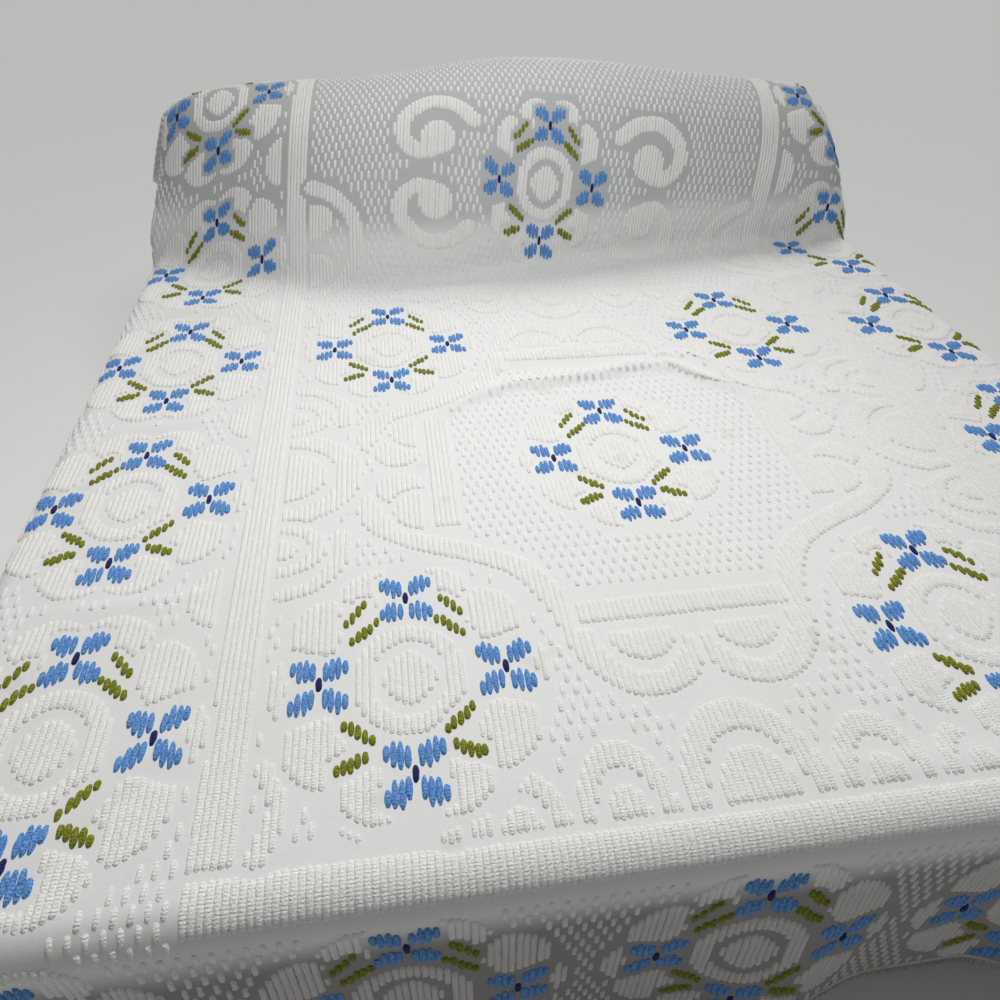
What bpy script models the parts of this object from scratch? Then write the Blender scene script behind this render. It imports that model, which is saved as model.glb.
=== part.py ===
"""A chenille bedspread spread over a bed, with its fringe, two propped pillows, mattress and base.

The spread is one sheet of cloth.  Cloth places are given as (u, v): u runs across the bed from
the middle of the spread's medallion, v runs towards the head.  drape() carries a cloth place to
the bed: flat on the mattress, up over the pillows, and down past the sides and the foot.
"""

import math
from collections import namedtuple

import bmesh
import bpy
import numpy as np

# Cloth, in metres.  One repeat is a wreath's width, from flower to flower.
ROW = 0.008444
REPEAT = 29.5 * ROW
HALF_WIDTH = 4.9 * REPEAT
HEAD_HEM = 6.5 * REPEAT
FOOT_HEM = -4.5 * REPEAT
PILE_DEPTH = 0.005
FRINGE_LENGTH = 0.026
FRINGE_BAND = 0.007
FRINGE_DEPTH = 0.004
FRINGE_TUFT = 0.043
FRINGE_GAP = 0.0014

# Bed, in metres.
BED_WIDTH = 1.93
BED_LENGTH = 2.03
BASE_HEIGHT = 0.30
BASE_INSET = 0.012
BASE_ROUND = 0.012
MATTRESS_DEPTH = 0.25
MATTRESS_ROUND = 0.04
PIECE_GAP = 0.0003
CLOTH_GAP = 0.0031
MATTRESS_TOP = BASE_HEIGHT + PIECE_GAP + MATTRESS_DEPTH

# Where the spread lies on the bed: its middle line, and its medallion's distance from the foot.
AXIS_X = 0.15 * REPEAT
MEDALLION_Y = 2.9 * REPEAT - BED_LENGTH / 2
OVERHANG_ROUND = MATTRESS_ROUND + CLOTH_GAP + PILE_DEPTH / 2
EDGE_X = BED_WIDTH / 2 + CLOTH_GAP + PILE_DEPTH / 2
EDGE_Y = BED_LENGTH / 2 + CLOTH_GAP + PILE_DEPTH / 2
FOOT_START = EDGE_Y - OVERHANG_ROUND + MEDALLION_Y
PILLOW_ROUND = 0.10
LEAN = 0.035
FLUTE_LIMIT = 0.42

# How the cloth rises over the pillows, at five places across, in repeats and degrees:
# at: place across; start: where the rise begins; angle: steepness; run: length of the steep part.
Rise = namedtuple("Rise", "at start angle run")
RISES = (
    Rise(-4.0, 3.90, 55.0, 1.17),
    Rise(-2.0, 3.00, 54.0, 1.17),
    Rise(0.0, 3.36, 75.0, 0.99),
    Rise(2.0, 3.65, 76.0, 0.75),
    Rise(3.8, 3.75, 74.0, 0.58),
)
RISE_PLACES = np.linspace(RISES[0].at, RISES[-1].at, 27) * REPEAT
PROFILE_FROM = 2.0 * REPEAT
RISE_EASE = 0.24 * REPEAT
RISE_MARGIN = 0.22 * REPEAT
CREST_RUN = 1.36 * REPEAT
BACK_SLOPE = math.radians(7.0)
PROFILE_STEP = 0.005
SIDE_AVERAGE = 60
SIDE_FOLLOW = 0.35

# The spread leans over to the right as it climbs: how far, from where, and over what length.
DRIFT = 0.058
DRIFT_FROM = 2.8 * REPEAT
DRIFT_RUN = 2.9 * REPEAT

# Beside the pillows the cloth slants out: how far its upper edge is set in, how much further it
# leans on the right, and how far above the edge's rounding it does so fully.
SIDE_INSET = 0.042
RIGHT_FLARE = 0.20
RAISED_LIFT = 0.20
SLANT_LIFT = 0.05

# Soft ridges on the flat top, from one place to another: ends in repeats, rest in metres.
Crease = namedtuple("Crease", "u0 v0 u1 v1 half_width height")
CREASES = (
    Crease(-1.00, 0.88, 0.05, 1.05, 0.030, 0.010),
    Crease(0.05, 1.05, 0.85, 1.14, 0.032, 0.012),
    Crease(0.85, 1.14, 1.40, 0.66, 0.034, 0.008),
    Crease(-0.80, 1.45, 0.70, 1.50, 0.045, 0.006),
    Crease(-1.60, 2.70, -0.50, 2.78, 0.050, 0.008),
    Crease(-3.80, 2.55, -3.10, 2.75, 0.035, 0.006),
)

# Hanging folds: at: where along the edge, from the bed's middle; half_width; swell per metre.
Flute = namedtuple("Flute", "at half_width swell")
FOOT_FLUTES = (
    Flute(-0.62, 0.16, 0.12),
    Flute(-0.28, 0.13, 0.06),
    Flute(0.10, 0.17, 0.09),
    Flute(0.55, 0.15, 0.13),
)
SIDE_FLUTES = (
    Flute(-0.66, 0.15, 0.16),
    Flute(-0.30, 0.14, 0.10),
    Flute(0.06, 0.16, 0.17),
    Flute(0.42, 0.14, 0.12),
    Flute(0.74, 0.13, 0.08),
)
CORNER_EASE = 0.55
CORNER_REACH = 0.62
CORNER_STOPS = 63
CORNER_ROUNDS = 24
STEEPEST_LEAN = 0.98

# How finely the sheet is divided: places along in repeats, and stops round the edge and below it.
TOP_SEGMENTS = 20
RISE_SEGMENTS = 13
RISE_SPREAD = 1.25
FLAT_FROM = 3.1
FLAT_STOPS = (2.7, 2.2, 1.75, 1.5, 1.35, 1.23, 1.12, 1.02, 0.92, 0.8, 0.5, 0.0, -0.55, -1.1, -1.7, -2.2)
ROUND_SEGMENTS = 4
BEND_SEGMENTS = 5
HANG_SEGMENTS = 3
LONGEST_BEND = 0.6
PILLOW_SEGMENTS = (10, 12)

# The pillows: how far they stay under the cloth, and how far their full width runs to the sides.
PILLOW_INSET = PILE_DEPTH / 2 + CLOTH_GAP + 0.007
PILLOW_FRONT = 0.05
PILLOW_SIDE = 0.77
PILLOW_FROM = 3.0 * REPEAT
PILLOW_END_SHARE = 0.04
PILLOW_FULLNESS = 0.35
PILLOW_ENDS = {"pillow_left": (-0.89, 0.030), "pillow_right": (0.034, 0.89)}

COLOURS = {
    "chenille_white": (0.80, 0.80, 0.77, 0.95),
    "fringe_white": (0.78, 0.78, 0.75, 0.95),
    "mattress_ticking": (0.72, 0.72, 0.70, 0.90),
    "base_linen": (0.48, 0.45, 0.41, 0.90),
    "pillow_cotton": (0.80, 0.80, 0.80, 0.90),
}


def smooth(t):
    """A soft step from 0 to 1."""
    t = np.clip(t, 0.0, 1.0)
    return t * t * (3.0 - 2.0 * t)


def bump(t):
    """A soft hump, 1 at 0 and 0 from 1 outwards on both sides."""
    return smooth(1.0 - np.abs(t))


def curve_through(at, values, places):
    """Values at the places, on a smooth curve through the given ones."""
    slopes = np.gradient(values, at)
    first = np.clip(np.searchsorted(at, places) - 1, 0, len(at) - 2)
    gap = at[first + 1] - at[first]
    t = (places - at[first]) / gap
    level = values[first] + (values[first + 1] - values[first]) * t * t * (3.0 - 2.0 * t)
    leaving = slopes[first] * gap * t * (1.0 - t) ** 2
    return level + leaving - slopes[first + 1] * gap * t * t * (1.0 - t)


def rise_profiles():
    """The cloth's path over the pillows in the y-z plane, for each of RISE_PLACES.

    Returns the lengths along the cloth, a table of y, lift and mean slope for each row, and the
    lengths at which each row leaves the mattress and reaches the head end.
    """
    lengths = np.arange(PROFILE_FROM, HEAD_HEM + PILLOW_ROUND, PROFILE_STEP)
    kernel = np.ones(SIDE_AVERAGE) / SIDE_AVERAGE
    tables, fronts, backs = [], [], []
    at, starts, angles, runs = np.array(RISES).T
    across = RISE_PLACES / REPEAT
    for start, angle, run in zip(*(curve_through(at, x, across) for x in (starts, angles, runs))):
        begins = start * REPEAT
        crest = begins + run * REPEAT
        over = np.clip((lengths - crest) / CREST_RUN, 0.0, 1.0)
        rising = smooth((lengths - begins) / RISE_EASE + 0.5)
        slope = rising * (math.radians(angle) * (1.0 - over) - BACK_SLOPE * over)
        y = lengths[0] + MEDALLION_Y + np.cumsum(np.cos(slope)) * PROFILE_STEP
        lift = np.cumsum(np.sin(slope)) * PROFILE_STEP
        padded = np.pad(slope, SIDE_AVERAGE // 2, mode="edge")
        mean = np.convolve(padded, kernel, mode="valid")[: len(lengths)]
        tables.append(np.column_stack((y, lift, mean)))
        fronts.append(begins - RISE_MARGIN)
        backs.append(np.interp(EDGE_Y - PILLOW_ROUND, y, lengths))
    return lengths, np.array(tables), np.array(fronts), np.array(backs)


def corner_tables(radius):
    """Reach, turn and drop of the cloth hanging round a corner, by distance and share of turn."""
    distances = np.linspace(0.0, CORNER_REACH, CORNER_STOPS)
    shares = np.linspace(0.0, 1.0, CORNER_STOPS)
    wave = 0.5 - 0.5 * np.cos(2.0 * math.pi * shares)
    turns = shares * math.pi / 2.0
    reach = []
    share_at = []
    for distance in distances:
        base = roll(distance, radius)[0]
        low, high = 0.0, 0.5 * distance
        for _ in range(CORNER_ROUNDS):
            swell = 0.5 * (low + high)
            around = base + swell * wave
            run = np.hypot(np.diff(around * np.cos(turns)), np.diff(around * np.sin(turns)))
            if run.sum() < (base + CORNER_EASE * (distance - base)) * math.pi / 2.0:
                low = swell
            else:
                high = swell
        placed = np.concatenate(([0.0], np.cumsum(run))) / max(run.sum(), 1e-9)
        if distance == 0.0:
            placed = shares
        reach.append(np.interp(shares, placed, around))
        share_at.append(np.interp(shares, placed, shares))
    reach = np.array(reach)
    step = distances[1]
    lean = np.clip(np.diff(reach, axis=0) / step, -1.0, 1.0)
    fall = np.sqrt(1.0 - np.minimum(lean**2, STEEPEST_LEAN)) * step
    drop = np.concatenate((np.zeros((1, len(shares))), np.cumsum(fall, axis=0)))
    return distances, shares, (reach, np.array(share_at), drop)


def roll(distance, radius):
    """Cloth rolling over an edge of this radius: how far out it is, and how far down."""
    turn = np.minimum(distance / radius, math.pi / 2.0)
    hang = np.maximum(distance - radius * math.pi / 2.0, 0.0)
    return radius * np.sin(turn), radius * (1.0 - np.cos(turn)) + hang


def look_up(table, row_stops, column_stops, row, column):
    """Values of a table between its stops."""
    i = np.interp(row, row_stops, np.arange(len(row_stops)))
    j = np.interp(column, column_stops, np.arange(len(column_stops)))
    i0 = np.minimum(i.astype(int), len(row_stops) - 2)
    j0 = np.minimum(j.astype(int), len(column_stops) - 2)
    a, b = i - i0, j - j0
    near = table[i0, j0] * (1 - b) + table[i0, j0 + 1] * b
    far = table[i0 + 1, j0] * (1 - b) + table[i0 + 1, j0 + 1] * b
    return near * (1 - a) + far * a


def flutes(rows, along):
    """The outward swell of the hanging folds at a place along an edge, per metre of drop."""
    total = np.zeros_like(along)
    for flute in rows:
        total += flute.swell * bump((along - flute.at) / flute.half_width)
    return total


def ridges(u, v):
    """Height of the soft ridges on the top."""
    total = np.zeros_like(u)
    for crease in CREASES:
        start = np.array((crease.u0, crease.v0)) * REPEAT
        run = np.array((crease.u1, crease.v1)) * REPEAT - start
        share = np.clip(((u - start[0]) * run[0] + (v - start[1]) * run[1]) / (run @ run), 0, 1)
        away = np.hypot(u - start[0] - share * run[0], v - start[1] - share * run[1])
        fade = np.sqrt(np.clip(4.0 * share * (1.0 - share), 0.0, 1.0)) * 0.7 + 0.3
        total = np.maximum(total, crease.height * fade * bump(away / crease.half_width))
    return total


RISE_LENGTHS, RISE_TABLES, RISE_FRONTS, RISE_BACKS = rise_profiles()
FOOT_CORNER = corner_tables(OVERHANG_ROUND)
HEAD_CORNER = corner_tables(PILLOW_ROUND)


def axis_at(v):
    """How far the spread's middle lies to the right of the bed's middle."""
    return AXIS_X + DRIFT * smooth((v - DRIFT_FROM) / DRIFT_RUN)


def on_top(u, v):
    """The cloth's y, lift and side turn before any overhang."""
    place = np.clip(u, RISE_PLACES[0], RISE_PLACES[-1])
    length = np.maximum(v, RISE_LENGTHS[0])
    y, lift, mean = (
        look_up(RISE_TABLES[:, :, k], RISE_PLACES, RISE_LENGTHS, place, length) for k in range(3)
    )
    flat = v < RISE_LENGTHS[0]
    return np.where(flat, v + MEDALLION_Y, y), lift * ~flat, SIDE_FOLLOW * mean * ~flat


def drape(u, v):
    """Carries cloth places to the bed: an array of points in metres on the cloth's middle."""
    u, v = np.atleast_1d(u).astype(float), np.atleast_1d(v).astype(float)
    back = np.interp(u, RISE_PLACES, RISE_BACKS)
    past_head = np.maximum(v - back, 0.0)
    past_foot = np.maximum(-v - FOOT_START, 0.0)
    past_end = past_head + past_foot
    level = np.clip(v, -FOOT_START, back)
    y, lift, turn = on_top(u, level)
    x = u + axis_at(level)
    rounding = smooth(lift / PILLOW_ROUND - 0.5)
    radius = OVERHANG_ROUND + (PILLOW_ROUND - OVERHANG_ROUND) * rounding
    raised = smooth((lift - PILLOW_ROUND) / RAISED_LIFT)
    edge = EDGE_X - SIDE_INSET * raised - radius
    past_side = np.maximum(np.abs(x) - edge, 0.0)

    far = np.hypot(past_side, past_end)
    angle = np.arctan2(past_end, past_side)
    hang = np.maximum(far - radius * math.pi / 2.0, 0.0)
    folds = np.where(past_foot > 0.0, flutes(FOOT_FLUTES, x), flutes(SIDE_FLUTES, y))
    slant = raised * (SIDE_INSET / np.maximum(lift - PILLOW_ROUND, SLANT_LIFT) + RIGHT_FLARE * (x > 0.0))
    slant *= 1.0 - angle / (math.pi / 2.0)
    out, down = roll(far, radius)
    out += np.minimum(folds + LEAN + slant, FLUTE_LIMIT) * hang
    for tables, here in ((FOOT_CORNER, past_foot > 0.0), (HEAD_CORNER, past_head > 0.0)):
        corner = here & (past_side > 0.0)
        distances, shares, values = tables
        share = angle / (math.pi / 2.0)
        reach, bend, fall = (look_up(value, distances, shares, far, share) for value in values)
        out = np.where(corner, reach + (LEAN + slant) * hang, out)
        down = np.where(corner, fall, down)
        angle = np.where(corner, bend * math.pi / 2.0, angle)

    x_edge = np.minimum(np.abs(x), edge)
    points = np.empty((len(u), 3))
    points[:, 0] = np.sign(x) * (x_edge + out * np.cos(angle) * (past_side > 0.0))
    points[:, 1] = y + out * np.sin(angle) * np.sign(past_head - past_foot) + down * np.sin(turn)
    points[:, 2] = MATTRESS_TOP + CLOTH_GAP + PILE_DEPTH / 2 + lift - down * np.cos(turn)
    points[:, 2] += ridges(u, v) * (lift < 0.01) * (down < 0.001)
    return points


def edge_start(side, v):
    """How far from the bed's middle the cloth starts to roll over its side, and its radius there."""
    lift = on_top(side * (EDGE_X - PILLOW_ROUND) - axis_at(v), v)[1]
    radius = OVERHANG_ROUND + (PILLOW_ROUND - OVERHANG_ROUND) * smooth(lift / PILLOW_ROUND - 0.5)
    return EDGE_X - radius - SIDE_INSET * smooth((lift - PILLOW_ROUND) / RAISED_LIFT), radius


def length_at(q, u):
    """The place along the cloth for q from 0, the head end, to 1, the foot end."""
    front, back = (np.interp(u, RISE_PLACES, ends) for ends in (RISE_FRONTS, RISE_BACKS))
    rising = np.clip(1.0 - 2.0 * q, 0.0, 1.0) ** RISE_SPREAD
    level = np.clip(2.0 * q - 1.0, 0.0, 1.0)
    return front + rising * (back - front) - level * (front + FOOT_START)


def cloth_place(p, q, reach=0.0):
    """Cloth places on a square grid, p across from -2 to 2 and q along from -1 to 2.

    Up to 1 either way is the top, and beyond it the overhang, whose two foot corners are quarter
    ellipses.  reach carries a place on beyond the side and foot hems.
    """
    side = np.where(p < 0.0, -1.0, 1.0)
    level = np.clip(q, 0.0, 1.0)
    edge_v = length_at(level, side * (EDGE_X - PILLOW_ROUND) - AXIS_X)
    (start, radius), axis = edge_start(side, edge_v), axis_at(edge_v)
    top_u = np.clip(p, -1.0, 1.0) * start - axis
    top_v = length_at(level, top_u)
    side_reach = HALF_WIDTH - start + side * axis
    a = np.clip(np.abs(p) - 1.0, 0.0, 1.0)
    b = np.clip(q - 1.0, 0.0, 1.0) + np.clip(-q, 0.0, 1.0)
    part = np.maximum(a, b)
    safe = np.where(part == 0.0, 1.0, part)
    turn = np.where(a >= b, 0.5 * b / safe, 1.0 - 0.5 * a / safe) * math.pi / 2.0
    toward_foot = np.hypot(np.cos(turn) / side_reach, np.sin(turn) / (-FOOT_HEM - FOOT_START))
    toward_head = np.maximum(np.cos(turn) / side_reach, np.sin(turn) / (HEAD_HEM - top_v))
    full = 1.0 / np.where(q < 0.0, toward_head, toward_foot)
    bend = np.minimum(radius * math.pi / 2.0, LONGEST_BEND * full)
    bend_share = BEND_SEGMENTS / (BEND_SEGMENTS + HANG_SEGMENTS)
    hanging = np.maximum(part - bend_share, 0.0) / (1.0 - bend_share)
    far = np.minimum(part / bend_share, 1.0) * bend + hanging * (full - bend) + reach * (part >= 1.0)
    along = far * np.sin(turn) * np.where(q < 0.0, 1.0, -1.0) * (b > 0.0)
    return top_u + side * far * np.cos(turn) * (a > 0.0), top_v + along


def material(slot):
    """The plain Principled material of the slot's name."""
    made = bpy.data.materials.get(slot)
    if made:
        return made
    red, green, blue, rough = COLOURS[slot]
    made = bpy.data.materials.new(slot)
    made.use_nodes = True
    shader = made.node_tree.nodes["Principled BSDF"]
    shader.inputs["Base Color"].default_value = (red, green, blue, 1.0)
    shader.inputs["Roughness"].default_value = rough
    made.diffuse_color = (red, green, blue, 1.0)
    return made


def add_object(name, mesh_data, slot, collection):
    """Turns a bmesh into a named object in the collection."""
    mesh = bpy.data.meshes.new(name)
    mesh_data.to_mesh(mesh)
    mesh_data.free()
    mesh.materials.append(material(slot))
    made = bpy.data.objects.new(name, mesh)
    collection.objects.link(made)
    return made


def add_solidify(piece, thickness):
    """Gives an open sheet its thickness, half to each side."""
    solid = piece.modifiers.new("thickness", "SOLIDIFY")
    solid.thickness = thickness
    solid.offset = 0.0
    solid.use_even_offset = False


def index_grid(columns, rows):
    """A plain grid of faces, with each vertex's column and row."""
    bm = bmesh.new()
    bmesh.ops.create_grid(bm, x_segments=columns - 1, y_segments=rows - 1, size=0.5)
    bm.verts.ensure_lookup_table()
    column = np.array([round((v.co.x + 0.5) * (columns - 1)) for v in bm.verts])
    row = np.array([round((v.co.y + 0.5) * (rows - 1)) for v in bm.verts])
    return bm, column, row


def place_vertices(bm, points):
    """Moves the vertices of a bmesh to the points, in order."""
    for vertex, point in zip(bm.verts, points):
        vertex.co = point


def sheet_stops():
    """The square-grid stops of the sheet, across and along."""
    side = np.linspace(1.0, 2.0, BEND_SEGMENTS + HANG_SEGMENTS + 1)
    top = np.linspace(-1.0, 1.0, TOP_SEGMENTS + 1)[1:-1]
    rising = np.linspace(0.0, 0.5, RISE_SEGMENTS + 1)
    front = FLAT_FROM * REPEAT
    level = 0.5 + 0.5 * (front - np.array(FLAT_STOPS) * REPEAT) / (front + FOOT_START)
    along = np.concatenate((1.0 - side[:0:-1], rising, level, side))
    return np.concatenate((-side[::-1], top, side)), along


def make_bedspread(collection):
    """The spread: one sheet from hem to hem."""
    across, along = sheet_stops()
    bm, column, row = index_grid(len(across), len(along))
    place_vertices(bm, drape(*cloth_place(across[column], along[row])))
    bmesh.ops.reverse_faces(bm, faces=bm.faces)
    add_solidify(add_object("bedspread", bm, "chenille_white", collection), PILE_DEPTH)


def hem_points(reach):
    """Points along the side and foot hems, or a reach beyond them, at each stop."""
    across, along = sheet_stops()
    along = along[along >= 0.0]
    p = np.concatenate((np.full(len(along), -2.0), across[1:], np.full(len(along) - 1, 2.0)))
    q = np.concatenate((along, np.full(len(across) - 1, 2.0), along[-2::-1]))
    return drape(*cloth_place(p, q, reach))


def make_fringe(collection):
    """The short cut fringe: one comb along the hem of both sides and the foot."""
    edges = [hem_points(reach) for reach in (FRINGE_GAP, FRINGE_BAND, FRINGE_LENGTH)]
    lengths = np.linalg.norm(np.diff(edges[0], axis=0), axis=1)
    stops = [0.0]
    for start, length in enumerate(lengths):
        tufts = 2 * max(1, round(length / FRINGE_TUFT / 2))
        stops.extend(start + (np.arange(tufts) + 1.0) / tufts)
    bm, column, row = index_grid(len(stops), len(edges))
    spots = np.arange(len(edges[0]))
    lines = [np.column_stack([np.interp(stops, spots, e[:, k]) for k in range(3)]) for e in edges]
    place_vertices(bm, np.array(lines)[row, column])
    gaps = [f for f in bm.faces if min(row[x.index] for x in f.verts) == 1]
    gaps = [f for f in gaps if min(column[x.index] for x in f.verts) % 2 == 1]
    bmesh.ops.delete(bm, geom=gaps, context="FACES")
    bmesh.ops.recalc_face_normals(bm, faces=bm.faces)
    add_solidify(add_object("fringe", bm, "fringe_white", collection), FRINGE_DEPTH)


def under_cloth(x):
    """The line a pillow's top follows under the cloth at a place across the bed, as y and z."""
    v = np.arange(PILLOW_FROM, HEAD_HEM, PROFILE_STEP)
    path = drape(np.clip(x, -PILLOW_SIDE, PILLOW_SIDE) - axis_at(v), v)
    tangent = np.gradient(path[:, 1:], axis=0)
    tangent /= np.linalg.norm(tangent, axis=1)[:, None]
    y = path[:, 1] + tangent[:, 1] * PILLOW_INSET
    z = path[:, 2] - tangent[:, 0] * PILLOW_INSET
    keep = (z > MATTRESS_TOP + PILLOW_FRONT) & (y < EDGE_Y - PILLOW_ROUND / 2)
    return y[keep], z[keep]


def make_pillow(name, collection):
    """A propped pillow that fills the cloth's rise between its two ends."""
    bm = bmesh.new()
    across, along = PILLOW_SEGMENTS
    bmesh.ops.create_grid(bm, x_segments=across, y_segments=along, size=0.5)
    floor = MATTRESS_TOP + PIECE_GAP
    inner, outer = PILLOW_ENDS[name]
    for vertex in bm.verts:
        share_x, share_y = vertex.co.x + 0.5, vertex.co.y + 0.5
        x = inner + (outer - inner) * (0.5 - 0.5 * math.cos(math.pi * share_x))
        inside = min(max(share_x, PILLOW_END_SHARE), 1.0 - PILLOW_END_SHARE)
        full = math.sin(math.pi * inside) ** PILLOW_FULLNESS
        y, z = under_cloth(x)
        spots = np.arange(len(y))
        at = share_y * spots[-1]
        middle = 0.5 * (y[0] + y[-1])
        y_here, z_here = np.interp(at, spots, y), np.interp(at, spots, z)
        vertex.co = (x, middle + (y_here - middle) * full, floor + (z_here - floor) * full)
    lower = bmesh.ops.extrude_face_region(bm, geom=bm.faces[:])["geom"]
    for vertex in (g for g in lower if isinstance(g, bmesh.types.BMVert)):
        vertex.co.z = floor
    bmesh.ops.recalc_face_normals(bm, faces=bm.faces)
    add_object(name, bm, "pillow_cotton", collection)


def make_block(name, slot, size, base_z, rounding, collection):
    """A plain upholstered block with softened edges."""
    bm = bmesh.new()
    bmesh.ops.create_cube(bm, size=1.0)
    bmesh.ops.scale(bm, vec=size, verts=bm.verts)
    piece = add_object(name, bm, slot, collection)
    piece.location = (0.0, 0.0, base_z + size[2] / 2)
    bevel = piece.modifiers.new("edges", "BEVEL")
    bevel.width = rounding
    bevel.segments = ROUND_SEGMENTS
    bevel.limit_method = "ANGLE"


def main():
    """Builds the bed and what lies on it."""
    for old in list(bpy.data.objects):
        bpy.data.objects.remove(old, do_unlink=True)
    collection = bpy.data.collections.new("chenille_bedspread")
    bpy.context.scene.collection.children.link(collection)
    base_size = (BED_WIDTH - 2 * BASE_INSET, BED_LENGTH - 2 * BASE_INSET, BASE_HEIGHT)
    mattress_size = (BED_WIDTH, BED_LENGTH, MATTRESS_DEPTH)
    mattress_z = BASE_HEIGHT + PIECE_GAP
    make_block("bed_base", "base_linen", base_size, 0.0, BASE_ROUND, collection)
    make_block("mattress", "mattress_ticking", mattress_size, mattress_z, MATTRESS_ROUND, collection)
    for name in PILLOW_ENDS:
        make_pillow(name, collection)
    make_bedspread(collection)
    make_fringe(collection)


main()
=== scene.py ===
"""Looks of a tufted chenille bedspread that lies over a bed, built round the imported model.

Cloth places are given as (u, v) in metres: u runs across the bed from the middle of the spread's
medallion, and v runs towards the head.  The design is laid out in repeats, each 29.5 tufted rows.
"""

import logging
import math
from collections.abc import Callable
from dataclasses import dataclass, field
from enum import Enum

import bmesh
import bpy
import numpy as np
from mathutils import Matrix, Vector


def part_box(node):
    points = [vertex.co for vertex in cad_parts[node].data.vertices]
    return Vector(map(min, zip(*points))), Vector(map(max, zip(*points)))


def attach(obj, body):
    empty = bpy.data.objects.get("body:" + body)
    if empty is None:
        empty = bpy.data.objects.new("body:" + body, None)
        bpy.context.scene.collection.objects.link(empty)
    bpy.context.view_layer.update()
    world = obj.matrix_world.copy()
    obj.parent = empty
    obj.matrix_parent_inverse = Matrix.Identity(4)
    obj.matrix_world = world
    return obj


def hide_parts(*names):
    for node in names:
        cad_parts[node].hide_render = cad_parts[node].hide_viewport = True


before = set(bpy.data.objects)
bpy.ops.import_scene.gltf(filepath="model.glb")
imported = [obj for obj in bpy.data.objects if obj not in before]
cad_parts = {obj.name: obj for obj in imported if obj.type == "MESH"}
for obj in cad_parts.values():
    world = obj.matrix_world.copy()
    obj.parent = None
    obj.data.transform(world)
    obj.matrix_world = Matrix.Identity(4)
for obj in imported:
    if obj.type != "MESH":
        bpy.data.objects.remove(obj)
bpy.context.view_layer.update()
LOG = logging.getLogger("bedspread")
Grid = np.ndarray
Colour = tuple[float, float, float]
QUARTER_TURN = math.pi / 2.0


# ---------------------------------------------------------------- sizes and small sums


@dataclass(frozen=True)
class ClothSize:
    """The spread's sizes, in metres unless the name says repeats."""

    row: float = 0.008444
    rows_in_repeat: float = 29.5
    half_width_repeats: float = 4.9
    head_hem_repeats: float = 6.5
    foot_hem_repeats: float = -4.5
    pile: float = 0.005
    ground: float = 0.0012
    clearance: float = 0.0031
    fringe_length: float = 0.026

    @property
    def repeat(self) -> float:
        """Length of one repeat of the design."""
        return self.row * self.rows_in_repeat

    @property
    def half_width(self) -> float:
        """From the middle to a side hem."""
        return self.half_width_repeats * self.repeat

    @property
    def head_hem(self) -> float:
        """From the medallion to the head hem."""
        return self.head_hem_repeats * self.repeat

    @property
    def foot_hem(self) -> float:
        """From the medallion to the foot hem, as a negative length."""
        return self.foot_hem_repeats * self.repeat


@dataclass(frozen=True)
class Rise:
    """How the cloth climbs the pillows at one place across: repeats and degrees."""

    at: float
    start: float
    angle: float
    run: float


@dataclass(frozen=True)
class Crease:
    """A soft ridge along a line of cloth places in repeats; its width and height are in metres."""

    line: tuple[tuple[float, float], ...]
    half_width: float
    height: float
    foot_share: float = 1.0


@dataclass(frozen=True)
class Flute:
    """A hanging fold: where along the edge, its half width, and its swell per metre of drop."""

    at: float
    half_width: float
    swell: float


def smooth(t: Grid) -> Grid:
    """A soft step from 0 to 1."""
    t = np.clip(t, 0.0, 1.0)
    return t * t * (3.0 - 2.0 * t)


def bump(t: Grid) -> Grid:
    """A soft hump, 1 at 0 and 0 from 1 outwards on both sides."""
    return smooth(1.0 - np.abs(t))


def curve_through(at: Grid, values: Grid, places: Grid) -> Grid:
    """Reads a smooth curve that passes through known values.

    Args:
        at: Where the values are known, rising.
        values: The known values.
        places: Where the curve is read.

    Returns:
        The curve's value at each place.
    """
    slopes = np.gradient(values, at)
    first = np.clip(np.searchsorted(at, places) - 1, 0, len(at) - 2)
    gap = at[first + 1] - at[first]
    t = (places - at[first]) / gap
    level = values[first] + (values[first + 1] - values[first]) * t * t * (3.0 - 2.0 * t)
    leaving = slopes[first] * gap * t * (1.0 - t) ** 2
    return level + leaving - slopes[first + 1] * gap * t * t * (1.0 - t)


def look_up(table: Grid, row_stops: Grid, column_stops: Grid, row: Grid, column: Grid) -> Grid:
    """Reads a table between its stops.

    Args:
        table: Values by row stop and column stop.
        row_stops: The rows' places.
        column_stops: The columns' places.
        row: Row places to read at.
        column: Column places to read at.

    Returns:
        The value at each pair of places.
    """
    i = np.interp(row, row_stops, np.arange(len(row_stops)))
    j = np.interp(column, column_stops, np.arange(len(column_stops)))
    i0 = np.minimum(i.astype(int), len(row_stops) - 2)
    j0 = np.minimum(j.astype(int), len(column_stops) - 2)
    a, b = i - i0, j - j0
    near = table[i0, j0] * (1 - b) + table[i0, j0 + 1] * b
    far = table[i0 + 1, j0] * (1 - b) + table[i0 + 1, j0 + 1] * b
    return near * (1 - a) + far * a


# ---------------------------------------------------------------- how the cloth lies


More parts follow.
